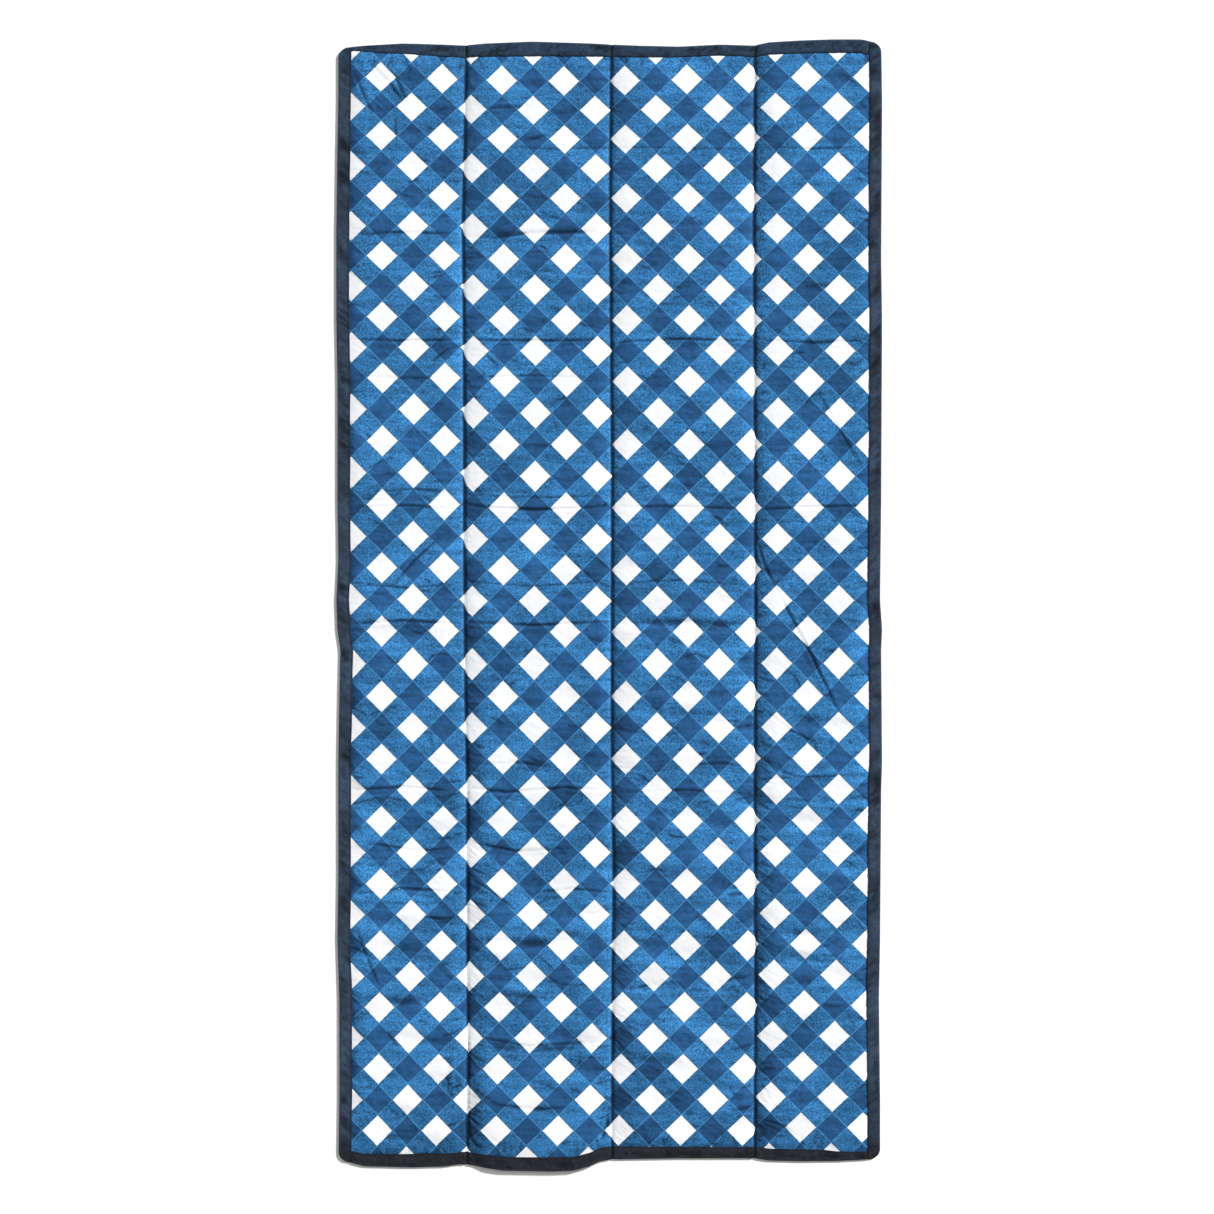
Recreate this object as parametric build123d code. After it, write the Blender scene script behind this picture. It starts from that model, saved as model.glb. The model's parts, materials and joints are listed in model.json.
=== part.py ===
from build123d import *
from math import radians, sin
import os

os.makedirs("parts", exist_ok=True)

# Outdoor camp blanket laid open, printed face up. X is its width, Y its length, +Z up, floor at z = 0.
# Four columns of quilt lie side by side, parted by three lengthwise sewn fold seams.

# ---------------------------------------------------------------- outline
half_width = 733.0
seam_x_left = -392.0
seam_x_centre = 6.0
seam_x_right = 394.0
corner_radius = 25.0
body_gap = 0.3

# each column: left edge, right edge, foot end, head end, side that carries a binding (-1, 0 or 1)
half_gap = body_gap / 2
columns = {
    "outer_left": (-half_width, seam_x_left - half_gap, -1511.0, 1511.0, -1),
    "inner_left": (seam_x_left + half_gap, seam_x_centre - half_gap, -1524.0, 1517.0, 0),
    "inner_right": (seam_x_centre + half_gap, seam_x_right - half_gap, -1496.0, 1511.0, 0),
    "outer_right": (seam_x_right + half_gap, half_width, -1498.0, 1524.0, 1),
}

# ---------------------------------------------------------------- thicknesses
cloth = 0.5
ply_gap = 0.05
tape = 0.5
tape_clearance = 0.1
binding_width = 34.0
crown_height = 9.0
crown_run = 40.0
seam_height = 3.1
rim_top = 3.6
binding_height = rim_top + tape_clearance + tape
tape_reach = binding_width - tape_clearance
thread = 0.4

# ---------------------------------------------------------------- closure flap under one foot end
flap_column = "inner_left"
flap_width = 280.0
flap_length = 200.0
flap_lift = 4.2
flap_gap = 1.0
hinge_inset = 4.0
hook_thick = 1.0
flap_thick = 1.6
flap_tape = 0.25
flap_tape_width = 14.0
flap_tape_gap = 0.05
flap_corner = 30.0
hook_width = 200.0
hook_depth = 50.0
hook_margin = 20.0
loop_thick = 0.8
loop_width = 200.0
loop_depth = 50.0
loop_from_foot = 430.0
webbing_thick = 1.3
webbing_width = 38.0
webbing_length = 210.0
tack_size = 30.0
trim_thread = 0.2

beyond = 5.0


def plate(x0, x1, y0, y1, z0, z1, radius=0.0, side=0):
    """A flat block between two corners, its vertical edges rounded on the left (-1) or right (1) side."""
    block = Pos((x0 + x1) / 2, (y0 + y1) / 2, (z0 + z1) / 2) * Box(x1 - x0, y1 - y0, z1 - z0)
    if radius <= 0 or side == 0:
        return block
    upright = block.edges().filter_by(Axis.Z).sort_by(Axis.X)
    picked = upright[:2] if side < 0 else upright[2:]
    return fillet(picked, radius)


def footprint(name, inset, extra=0.0):
    """The column's outline pulled in by inset on its bound edges, run on by extra past its seams."""
    x0, x1, y0, y1, side = columns[name]
    left = x0 + inset if side < 0 else x0 - extra
    right = x1 - inset if side > 0 else x1 + extra
    return left, right, y0 + inset, y1 - inset


def edge_heights(name):
    """Height of the printed face along the left, right, foot and head edges of the open field."""
    side = columns[name][4]
    left = rim_top if side < 0 else seam_height
    right = rim_top if side > 0 else seam_height
    foot = rim_top + flap_lift if name == flap_column else rim_top
    return left, right, foot, rim_top


def wedge(points, along_x, start, end):
    """A long triangular prism that slopes one edge of the field down."""
    if along_x:
        outline = Plane.YZ.offset(start) * make_face(Polyline(*points, close=True).edges())
    else:
        outline = Plane.XZ.offset(-end) * make_face(Polyline(*points, close=True).edges())
    return extrude(outline, amount=end - start)


def pillow(name, shift, bottom):
    """The column's field: full height in the middle and sloped down to each of its four edges."""
    x0, x1, y0, y1 = footprint(name, binding_width)
    top = crown_height + shift
    field = plate(x0, x1, y0, y1, bottom, top)
    heights = edge_heights(name)
    rims = ((x0, 1, False), (x1, -1, False), (y0, 1, True), (y1, -1, True))
    for (edge, inward, along_x), height in zip(rims, heights):
        slope = (crown_height - height) / crown_run
        low = height + shift - beyond * slope
        high = top + beyond * slope
        outer = edge - inward * beyond
        inner = edge + inward * (crown_run + beyond)
        points = [(outer, low), (inner, high), (outer, high)]
        if along_x:
            cut = wedge(points, True, x0 - beyond, x1 + beyond)
        else:
            cut = wedge(points, False, y0 - beyond, y1 + beyond)
        field = field - cut
    return field


def rim_plate(name, bottom, top, reach=0.0):
    """A thin plate over the whole column, out to where the binding folds round its edge."""
    inset = tape + tape_clearance
    x0, x1, y0, y1 = footprint(name, inset)
    if name == flap_column:
        y0 = columns[name][2] + binding_width
    return plate(x0, x1, y0 - reach, y1, bottom, top, corner_radius - inset, columns[name][4])


def field_plate(name, inset, bottom, top, extra=0.0):
    """A plate over the open field between the bindings."""
    x0, x1, y0, y1 = footprint(name, binding_width + inset, extra)
    return plate(x0, x1, y0, y1, bottom, top)


def raised_rim(bottom, top, reach=0.0):
    """The strip of the flap column that runs on into its raised foot binding."""
    x0, x1, y0, y1, side = columns[flap_column]
    return plate(x0, x1, y0 + tape + tape_clearance, y0 + binding_width + reach, bottom, top)


def flap_box():
    """Room for the flap and for its path out under the raised foot binding."""
    x0, x1, y0, y1, side = columns[flap_column]
    middle = (x0 + x1) / 2
    half = flap_width / 2 + flap_gap
    return middle - half, middle + half, y0 - beyond, hinge_y + flap_length + flap_gap


def loop_box():
    """Outline of the loop tape sewn to the underside."""
    x0, x1, y0, y1, side = columns[flap_column]
    middle = (x0 + x1) / 2
    start = y0 + loop_from_foot
    return middle - loop_width / 2, middle + loop_width / 2, start, start + loop_depth


# ---------------------------------------------------------------- hinge axes
# An outer column folds up and over onto its inner column, so that axis is just above the fill. The centre
# axis is higher, because it closes over two folded layers. The flap turns about the middle of its stack.
fold_clearance = 0.4
fold_height = crown_height + fold_clearance
# each fold stops a little short of a half turn, so a folded outer column rises towards its free edge
fold_shortfall = 0.2
outer_rise = (half_width + seam_x_left) * sin(radians(fold_shortfall))
centre_fold_height = 2 * fold_height + outer_rise + body_gap
hinge_y = columns[flap_column][2] + binding_width + hinge_inset
hinge_z = (hook_thick + flap_thick + webbing_thick) / 2


def face(name):
    """Printed top cloth of one column."""
    cover = pillow(name, 0.0, 0.0) - pillow(name, -cloth, -beyond)
    rim = rim_plate(name, rim_top - cloth, rim_top) - field_plate(name, 0.0, 0.0, crown_height, beyond)
    cover = cover + rim
    if name == flap_column:
        top = rim_top + flap_lift
        cover = cover + raised_rim(top - cloth, top)
    return cover


def batting(name):
    """Fibre fill of one column, thinned where the binding grips it."""
    low = cloth + ply_gap
    rim_low = tape + tape_clearance + cloth + ply_gap
    rim_high = rim_top - cloth - ply_gap
    drop = -(cloth + ply_gap)
    core = pillow(name, drop, low) & field_plate(name, cloth + ply_gap, 0.0, crown_height)
    collar = pillow(name, drop, rim_low)
    rim = rim_plate(name, rim_low, rim_high) - field_plate(name, 0.0, 0.0, crown_height, beyond)
    fill = core + collar + rim
    if name == flap_column:
        x0, x1, y0, y1, side = columns[name]
        raised_low = rim_low + flap_lift
        fill = fill - plate(
            x0 - beyond, x1 + beyond, y0, y0 + binding_width + cloth + ply_gap, 0.0, raised_low
        )
        fill = fill + raised_rim(raised_low, rim_high + flap_lift)
        bx0, bx1, by0, by1 = flap_box()
        skin = cloth + ply_gap
        fill = fill - plate(bx0 - skin, bx1 + skin, by0, by1 + skin, -beyond, flap_lift + skin)
        lx0, lx1, ly0, ly1 = loop_box()
        pad = skin + flap_tape_gap
        fill = fill - plate(
            lx0 - pad, lx1 + pad, ly0 - pad, ly1 + pad, -beyond, loop_thick + flap_tape_gap + skin
        )
    return fill


def backing(name):
    """Water-resistant underside cloth: flat on the floor, stepped up over the binding's lower leg."""
    step = tape + tape_clearance
    tray = field_plate(name, 0.0, 0.0, step + cloth) - field_plate(name, cloth, cloth, crown_height, beyond)
    rim = rim_plate(name, step, step + cloth) - field_plate(name, 0.0, 0.0, crown_height, beyond)
    sheet = tray + rim
    if name != flap_column:
        return sheet
    x0, x1, y0, y1, side = columns[name]
    inner = y0 + binding_width
    wall_top = step + flap_lift + cloth
    wall_x0 = x0 + crown_run / 2
    wall_x1 = x1 - crown_run / 2
    sheet = sheet + plate(wall_x0, wall_x1, inner, inner + cloth, 0.0, wall_top)
    sheet = sheet + raised_rim(wall_top - cloth, wall_top)
    bx0, bx1, by0, by1 = flap_box()
    sheet = sheet + plate(bx0 - cloth, bx1 + cloth, inner, by1 + cloth, 0.0, flap_lift + cloth)
    sheet = sheet - plate(bx0, bx1, by0, by1, -beyond, flap_lift)
    lx0, lx1, ly0, ly1 = loop_box()
    wide = flap_tape_gap
    deep = loop_thick + flap_tape_gap
    rim_x0 = lx0 - wide - cloth
    rim_x1 = lx1 + wide + cloth
    sheet = sheet + plate(rim_x0, rim_x1, ly0 - wide - cloth, ly1 + wide + cloth, 0.0, deep + cloth)
    return sheet - plate(lx0 - wide, lx1 + wide, ly0 - wide, ly1 + wide, -beyond, deep)


def channel(name):
    """Binding tape folded round every bound edge of one column."""
    side = columns[name][4]
    outer = plate(*footprint(name, 0.0), 0.0, binding_height, corner_radius, side)
    x0, x1, y0, y1 = footprint(name, tape, beyond)
    pocket = plate(x0, x1, y0, y1, tape, binding_height - tape, corner_radius - tape, side)
    x0, x1, y0, y1 = footprint(name, tape_reach, beyond)
    return outer - pocket - plate(x0, x1, y0, y1, -beyond, crown_height)


def binding_pieces(name):
    """The channel of one column, cut into its side, head and foot tapes."""
    x0, x1, y0, y1, side = columns[name]
    whole = channel(name)
    joint = tape_reach
    inner_x0 = x0 + joint if side < 0 else x0
    inner_x1 = x1 - joint if side > 0 else x1
    tapes = {}
    foot = whole & plate(inner_x0, inner_x1, y0, y0 + joint, -beyond, crown_height)
    lift = flap_lift if name == flap_column else 0.0
    tapes["foot_binding_" + name] = Pos(0, 0, lift) * foot
    tapes["head_binding_" + name] = whole & plate(
        inner_x0, inner_x1, y1 - joint, y1, -beyond, crown_height
    )
    if side < 0:
        tapes["side_binding_left"] = whole & plate(x0, inner_x0, y0, y1, -beyond, crown_height)
    if side > 0:
        tapes["side_binding_right"] = whole & plate(inner_x1, x1, y0, y1, -beyond, crown_height)
    return tapes


def binding_threads(name):
    """The lockstitch line that holds each tape, lying on its upper leg beside its inner edge."""
    x0, x1, y0, y1, side = columns[name]
    line = binding_width - 2.0
    near_x0 = x0 + binding_width if side < 0 else x0
    near_x1 = x1 - binding_width if side > 0 else x1
    lift = flap_lift if name == flap_column else 0.0
    low = binding_height
    runs = {}
    runs["foot_thread_" + name] = plate(
        near_x0, near_x1, y0 + line - thread, y0 + line, low + lift, low + lift + thread
    )
    runs["head_thread_" + name] = plate(
        near_x0, near_x1, y1 - line, y1 - line + thread, low, low + thread
    )
    foot_end = y0 + line
    head_end = y1 - line
    if side < 0:
        near = x0 + line
        runs["side_thread_left"] = plate(near - thread, near, foot_end, head_end, low, low + thread)
    if side > 0:
        near = x1 - line
        runs["side_thread_right"] = plate(near, near + thread, foot_end, head_end, low, low + thread)
    return runs


def seam_thread(name, edge, inward):
    """Stitch line of one fold seam, lying in the groove beside the gap between two columns."""
    y0 = columns[name][2] + binding_width + beyond
    y1 = columns[name][3] - binding_width - beyond
    near = edge + inward * 2 * thread
    far = near + inward * thread
    slope = (crown_height - seam_height) / crown_run
    low = seam_height + slope * 4 * thread
    return plate(min(near, far), max(near, far), y0 + crown_run, y1 - crown_run, low, low + thread)


def flap_parts():
    """Closure flap folded under the foot, with its edge tape, hook tape, webbing handle and stitches."""
    x0, x1, y0, y1, side = columns[flap_column]
    middle = (x0 + x1) / 2
    left = middle - flap_width / 2
    right = middle + flap_width / 2
    low = hook_thick
    high = hook_thick + flap_thick
    tip = hinge_y + flap_length

    def tongue(inset, z0, z1, root):
        """The flap's outline pulled in by inset, its two free corners rounded."""
        block = plate(left + inset, right - inset, root, tip - inset, z0, z1)
        free = block.edges().filter_by(Axis.Z).sort_by(Axis.Y)[2:]
        return fillet(free, flap_corner - min(inset, flap_corner / 2))

    pieces = {}
    skin = flap_tape + flap_tape_gap
    pieces["flap_cloth"] = tongue(skin, low + skin, high - skin, hinge_y)
    shell = tongue(0.0, low, high, hinge_y)
    pocket = tongue(flap_tape, low + flap_tape, high - flap_tape, hinge_y - beyond)
    window = tongue(flap_tape_width, low - beyond, high + beyond, hinge_y - beyond)
    pieces["flap_binding"] = shell - pocket - window
    line = flap_tape_width - 2 * thread
    outer_run = tongue(line, low - trim_thread, low, hinge_y + beyond)
    inner_run = tongue(line + thread, low - beyond, low + beyond, hinge_y)
    pieces["flap_thread"] = outer_run - inner_run
    hook_end = tip - hook_margin
    hook_start = hook_end - hook_depth
    hook_left = middle - hook_width / 2
    hook_right = middle + hook_width / 2
    hook_top = low + skin - flap_tape_gap
    pieces["hook_tape"] = plate(hook_left, hook_right, hook_start, hook_end, 0.0, hook_top)
    strap_y = hinge_y + flap_length / 2
    strap_low = high - skin + flap_tape_gap
    strap_high = strap_low + webbing_thick
    half = webbing_width / 2
    reach = webbing_length / 2
    pieces["carry_handle"] = plate(
        middle - reach, middle + reach, strap_y - half, strap_y + half, strap_low, strap_high
    )
    for label, sign in (("left", -1), ("right", 1)):
        centre = middle + sign * (reach - tack_size / 2 - 2 * thread)
        spot = Pos(centre, strap_y, strap_high + trim_thread / 2)
        tack = spot * Box(tack_size, tack_size, trim_thread)
        hole = spot * Box(tack_size - 2 * thread, tack_size - 2 * thread, beyond)
        pieces["handle_tack_" + label] = tack - hole
    return pieces


def loop_parts():
    """Loop tape sewn to the underside, where the flap's hooks reach when the blanket is rolled."""
    x0, x1, y0, y1 = loop_box()
    return {"loop_tape": plate(x0, x1, y0, y1, 0.0, loop_thick)}


parts = {}
for column in columns:
    parts["face_" + column] = face(column)
    parts["batting_" + column] = batting(column)
    parts["backing_" + column] = backing(column)
    parts.update(binding_pieces(column))
    parts.update(binding_threads(column))
parts["seam_thread_left"] = seam_thread("inner_left", columns["inner_left"][0], 1)
parts["seam_thread_centre"] = seam_thread("inner_left", columns["inner_left"][1], -1)
parts["seam_thread_right"] = seam_thread("inner_right", columns["inner_right"][1], -1)
parts.update(flap_parts())
parts.update(loop_parts())

print("fold_left axis along Y at x", seam_x_left, "z", fold_height)
print("fold_right axis along Y at x", seam_x_right, "z", fold_height)
print("fold_centre axis along Y at x", seam_x_centre, "z", round(centre_fold_height, 2))
print("flap_hinge axis along X at y", hinge_y, "z", hinge_z)

for label, shape in parts.items():
    solids = shape.solids()
    print(label, len(solids), round(sum(s.volume for s in solids)), "mm3")
    export_step(shape, "parts/" + label + ".step")
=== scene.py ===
import json
import math

import bmesh
import bpy
import numpy as np
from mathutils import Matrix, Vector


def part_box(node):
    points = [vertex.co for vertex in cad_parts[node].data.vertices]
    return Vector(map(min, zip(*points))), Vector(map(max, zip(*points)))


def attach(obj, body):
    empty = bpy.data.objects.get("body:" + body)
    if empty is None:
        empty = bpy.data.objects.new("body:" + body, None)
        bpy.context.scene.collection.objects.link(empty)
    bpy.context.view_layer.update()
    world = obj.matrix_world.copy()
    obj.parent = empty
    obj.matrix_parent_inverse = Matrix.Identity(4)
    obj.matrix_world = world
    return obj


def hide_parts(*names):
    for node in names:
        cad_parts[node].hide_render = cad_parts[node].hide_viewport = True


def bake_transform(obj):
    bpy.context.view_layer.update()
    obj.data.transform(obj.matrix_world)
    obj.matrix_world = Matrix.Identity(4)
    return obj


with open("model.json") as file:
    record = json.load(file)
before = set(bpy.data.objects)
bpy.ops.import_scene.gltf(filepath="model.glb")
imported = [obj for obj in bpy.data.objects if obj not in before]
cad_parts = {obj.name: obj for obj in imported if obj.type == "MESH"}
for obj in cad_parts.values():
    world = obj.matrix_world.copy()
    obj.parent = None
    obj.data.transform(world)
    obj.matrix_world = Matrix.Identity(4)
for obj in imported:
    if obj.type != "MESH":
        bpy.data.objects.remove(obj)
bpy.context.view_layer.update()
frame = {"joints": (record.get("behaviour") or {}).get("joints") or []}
mm = 0.001

# ================================================================ places and sizes, in metres
# X is the blanket's width, Y its length, Z up. Foot is -Y, head +Y.
columns = ("outer_left", "inner_left", "inner_right", "outer_right")
joints = {joint["name"]: joint for joint in frame["joints"]}
seams = [joints[name]["pos_m"][0] for name in ("fold_left", "fold_centre", "fold_right")]
left_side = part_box("side_binding_left")[0].x
right_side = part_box("side_binding_right")[1].x
tape_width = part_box("side_binding_left")[1].x - left_side
head_end = {name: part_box("head_binding_" + name)[1].y for name in columns}
foot_end = {name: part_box("foot_binding_" + name)[0].y for name in columns}
splits = [(seams[0] + seams[1]) / 2, (seams[1] + seams[2]) / 2]
breaks = [left_side] + seams + [right_side]
flap_low, flap_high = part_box("flap_cloth")
hinge_y = joints["flap_hinge"]["pos_m"][1]

# the cloth strips, one over each fold: name, the bodies on its two sides, half width of its bend
strips = (
    ("left", "outer_left", "inner_left", 12 * mm),
    ("centre", "inner_left", "inner_right", 24 * mm),
    ("right", "inner_right", "outer_right", 12 * mm),
)
strip_names = [strip[0] for strip in strips]

# heights
seam_height = 2.0 * mm
rim_height = 3.9 * mm
quilt_height = 7.5 * mm
highest = 9.1 * mm
highest_over_flap = 10.2 * mm
flap_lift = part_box("foot_binding_inner_left")[0].z
tape_thick = 4.1 * mm
corner_radius = 27 * mm
under_tape = 8 * mm

# Outlines, as (place, shift outwards from the CAD edge in mm).
head_bow = (
    (-0.733, -12), (-0.711, -9), (-0.665, -4), (-0.56, 2), (-0.455, -1), (-0.392, -4),
    (-0.391, -9), (-0.34, -4), (-0.21, 1), (-0.13, -1.5), (-0.05, -4), (0.005, -7),
    (0.007, -1), (0.08, -4), (0.19, -6.5), (0.30, -1), (0.393, -4),
    (0.395, -16), (0.43, -8), (0.515, -3), (0.60, 0), (0.68, 0), (0.715, -8), (0.733, -10),
)
foot_bow = (
    (-0.733, -12), (-0.711, -11), (-0.665, 1.5), (-0.54, 4.5), (-0.45, 2), (-0.41, -4), (-0.392, -4),
    (-0.391, -17), (-0.35, -9), (-0.293, -0.5), (-0.16, 2), (-0.10, 0), (-0.051, -14), (-0.03, -25),
    (0.005, -30), (0.007, -2), (0.19, -5), (0.393, -5),
    (0.395, -7), (0.43, -1), (0.515, 1), (0.62, 0), (0.70, -4), (0.733, -7),
)
left_bow = (
    (-1.52, -2.5), (-1.33, -5), (-1.06, -5), (-0.90, 0), (-0.74, -2.5), (-0.42, -2.5), (-0.256, -5),
    (-0.121, -8), (-0.067, 0), (0.013, 3), (0.12, -2.5), (0.28, 0), (0.60, 0), (0.77, 3), (1.0, 3),
    (1.226, 0), (1.36, -2.5), (1.52, -2.5),
)
right_bow = (
    (-1.52, -4), (-1.33, -4), (-1.06, -7), (-0.90, -4), (-0.50, -1), (-0.42, 1.5), (-0.121, -1),
    (-0.067, 1.5), (0.013, -4), (0.28, -1), (0.77, 1.5), (0.93, -1), (1.36, 1.5), (1.52, -1),
)
# the width of end tape that shows, as (place, mm)
head_seen = (
    (-0.733, 14), (-0.692, 11), (-0.665, 15), (-0.616, 22), (-0.56, 27), (-0.50, 30), (-0.40, 32),
    (-0.33, 36), (-0.21, 39), (-0.10, 37), (0.0, 33), (0.08, 31), (0.20, 28), (0.39, 30),
    (0.45, 33), (0.60, 36), (0.733, 37),
)
foot_seen = (
    (-0.733, 32), (-0.60, 34), (-0.50, 37), (-0.42, 32), (-0.36, 35), (-0.25, 38), (-0.10, 37),
    (-0.045, 36), (0.0, 35), (0.10, 33), (0.20, 31), (0.39, 30), (0.43, 32), (0.58, 31), (0.65, 22),
    (0.733, 20),
)
# a slow sideways wander of each seam, as (place, mm)
seam_wander = (
    (
        (-1.5, 8), (-1.2, 11), (-0.9, 9), (-0.5, 9), (-0.25, 4), (0.1, 1), (0.7, 0), (1.05, -3),
        (1.25, 2), (1.5, 6),
    ),
    ((-1.5, 1), (-1.0, 2), (-0.75, 5), (-0.35, 0), (0.35, 1), (0.95, -4), (1.2, -4), (1.5, -1)),
    ((-1.5, -3), (-1.1, -1), (-0.5, -3), (0.0, -1), (0.6, -3), (1.05, -5), (1.5, -2)),
)


# ================================================================ small helpers
def through(points, places):
    """Reads a listed line of (place, value in mm) at the given places, in metres."""
    x, y = np.array(points, float).T
    return np.interp(places, x, y * mm)


def smoothstep(value, start, end):
    share = np.clip((value - start) / (end - start), 0, 1)
    return share * share * (3 - 2 * share)


def between(value, low, high, soft):
    """1 between low and high, falling to 0 over the distance soft outside them."""
    return smoothstep(value, low - soft, low) * (1 - smoothstep(value, high, high + soft))


def bell(distance, width):
    return np.exp(-((distance / width) ** 2))


def smooth_random(x, y, cell_x, cell_y, seed):
    """A smooth random field between about -1 and 1, with features of about cell_x by cell_y."""
    rng = np.random.default_rng(seed)
    u = (x + 2.0) / cell_x
    v = (y + 2.0) / cell_y
    column = np.floor(u).astype(int)
    row = np.floor(v).astype(int)
    fu = u - column
    fv = v - row
    fu = fu * fu * (3 - 2 * fu)
    fv = fv * fv * (3 - 2 * fv)
    lattice = rng.uniform(-1, 1, (row.max() + 2, column.max() + 2))
    low = lattice[row, column] * (1 - fu) + lattice[row, column + 1] * fu
    high = lattice[row + 1, column] * (1 - fu) + lattice[row + 1, column + 1] * fu
    return low * (1 - fv) + high * fv


def random_line(places, cell, seed):
    """A smooth random line between about -1 and 1."""
    return smooth_random(places, np.zeros_like(places), cell, 1.0, seed)


def blurred(field, reach):
    """The field averaged three times over windows of 2 * reach + 1 samples each way."""
    for _ in range(3):
        for axis in (0, 1):
            padding = [(0, 0), (0, 0)]
            padding[axis] = (reach + 1, reach)
            total = np.cumsum(np.pad(field, padding, mode="edge"), axis)
            count = field.shape[axis]
            first = np.take(total, range(2 * reach + 1, 2 * reach + 1 + count), axis)
            field = (first - np.take(total, range(count), axis)) / (2 * reach + 1)
    return field


def filled(marks, step):
    """The marks in order, with evenly spaced places about a step apart between them."""
    places = [marks[0]]
    for mark in marks[1:]:
        gap = mark - places[-1]
        count = max(1, int(round(gap / step)))
        places += list(places[-1] + gap * np.arange(1, count + 1) / count)
    return np.array(places)


def seam_gap(nominal):
    """Distance to the nearest seam."""
    return np.min(np.abs(nominal[..., None] - np.array(seams)), -1)


def past_seam(nominal, k):
    """0 left of seam k, 1 right of it, with a short smooth step between."""
    return smoothstep(nominal, seams[k] - 4 * mm, seams[k] + 4 * mm)


def grid_faces(rows, cols):
    index = np.arange(rows * cols).reshape(rows, cols)
    corners = (index[:-1, :-1], index[:-1, 1:], index[1:, 1:], index[1:, :-1])
    return np.stack(corners, -1).reshape(-1, 4)


def new_piece(name, points, faces, material, smooth=True):
    mesh = bpy.data.meshes.new(name)
    mesh.from_pydata(np.asarray(points, float).reshape(-1, 3).tolist(), [], [list(face) for face in faces])
    mesh.materials.append(material)
    if smooth:
        mesh.shade_smooth()
    piece = bpy.data.objects.new(name, mesh)
    bpy.context.scene.collection.objects.link(piece)
    return piece


def closed_slab(name, upper, lower, material):
    """Two grids of points, one above the other, that meet at their edges."""
    rows, cols = upper.shape[:2]
    points = np.concatenate([upper.reshape(-1, 3), lower.reshape(-1, 3)])
    up = grid_faces(rows, cols)
    return new_piece(name, points, np.concatenate([up, up[:, ::-1] + rows * cols]), material)


def put_vector(piece, name, values):
    attribute = piece.data.attributes.new(name, "FLOAT_VECTOR", "POINT")
    attribute.data.foreach_set("vector", np.asarray(values, np.float32).ravel())


# ================================================================ camera and light
picture_width = 3.272
picture_centre = (-0.0069, -0.0056)


def make_camera():
    """Straight above the middle, as in the photograph."""
    camera = bpy.data.objects.new("camera", bpy.data.cameras.new("camera"))
    camera.data.lens = 85
    camera.data.sensor_width = 36
    distance = picture_width * camera.data.lens / camera.data.sensor_width
    camera.location = (*picture_centre, distance)
    bpy.context.scene.collection.objects.link(camera)
    bpy.context.scene.camera = camera
    bpy.context.scene.view_settings.view_transform = "Standard"


def make_sun(name, azimuth, elevation, energy, spread):
    """A broad light from azimuth, turned from +X towards +Y, at that height above the floor, in degrees."""
    lamp = bpy.data.lights.new(name, "SUN")
    lamp.energy = energy
    lamp.angle = math.radians(spread)
    sun = bpy.data.objects.new(name, lamp)
    sun.rotation_euler = (0, math.radians(90 - elevation), math.radians(azimuth))
    bpy.context.scene.collection.objects.link(sun)


def make_world(strength):
    world = bpy.data.worlds.new("studio")
    world.use_nodes = True
    background = world.node_tree.nodes["Background"]
    background.inputs["Color"].default_value = (0.97, 0.985, 1.0, 1)
    background.inputs["Strength"].default_value = strength
    bpy.context.scene.world = world


make_camera()
make_sun("key", 38, 19, 8.2, 7)
make_sun("top", 100, 60, 0.3, 40)
make_world(0.28)


# ================================================================ materials
def add(tree, kind, inputs=None, **settings):
    """A shader node with its settings and its inputs, each a value or another node's output."""
    node = tree.nodes.new(kind)
    for key, value in settings.items():
        setattr(node, key, value)
    for key, value in (inputs or {}).items():
        if isinstance(value, bpy.types.NodeSocket):
            tree.links.new(value, node.inputs[key])
        else:
            node.inputs[key].default_value = value
    return node


def calc(tree, operation, *values):
    inputs = dict(enumerate(values))
    return add(tree, "ShaderNodeMath", inputs, operation=operation).outputs[0]


def times(tree, first, *others):
    """The values multiplied together."""
    for other in others:
        first = calc(tree, "MULTIPLY", first, other)
    return first


def ramp(tree, value, low, high, start=0.0, end=1.0):
    """Value stretched smoothly from low..high to start..end."""
    inputs = {"Value": value, "From Min": low, "From Max": high, "To Min": start, "To Max": end}
    return add(tree, "ShaderNodeMapRange", inputs, interpolation_type="SMOOTHSTEP").outputs[0]


def mixed(tree, share, first, second, blend_type="MIX"):
    """Two colours mixed. The node keeps its colour sockets at 6 and 7, and its colour result at 2."""
    node = add(tree, "ShaderNodeMix", data_type="RGBA", blend_type=blend_type)
    for index, value in ((0, share), (6, first), (7, second)):
        socket = node.inputs[index]
        if isinstance(value, bpy.types.NodeSocket):
            tree.links.new(value, socket)
        else:
            socket.default_value = value if index == 0 else (*value, 1)
    return node.outputs[2]


def toned(tree, colour, tone):
    """The colour made lighter or darker by tone."""
    grey = add(tree, "ShaderNodeCombineXYZ", {0: tone, 1: tone, 2: tone}).outputs[0]
    return mixed(tree, 1.0, colour, grey, "MULTIPLY")


def noise(tree, place, scale, detail, roughness=0.5):
    inputs = {"Vector": place, "Scale": scale, "Detail": detail, "Roughness": roughness}
    return add(tree, "ShaderNodeTexNoise", inputs).outputs["Fac"]


def stretched(tree, place, size, turn=0.0):
    """Coordinates scaled by size each way and turned about Z."""
    inputs = {"Vector": place, "Rotation": (0, 0, turn), "Scale": size}
    return add(tree, "ShaderNodeMapping", inputs).outputs[0]


def bumped(tree, shader, height, distance, strength, under=None):
    inputs = {"Height": height, "Distance": distance, "Strength": strength}
    if under is not None:
        inputs["Normal"] = under
    bump = add(tree, "ShaderNodeBump", inputs).outputs[0]
    tree.links.new(bump, shader.inputs["Normal"])
    return bump


def paint(tree, shader, colour):
    tree.links.new(colour, shader.inputs["Base Color"])


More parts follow.
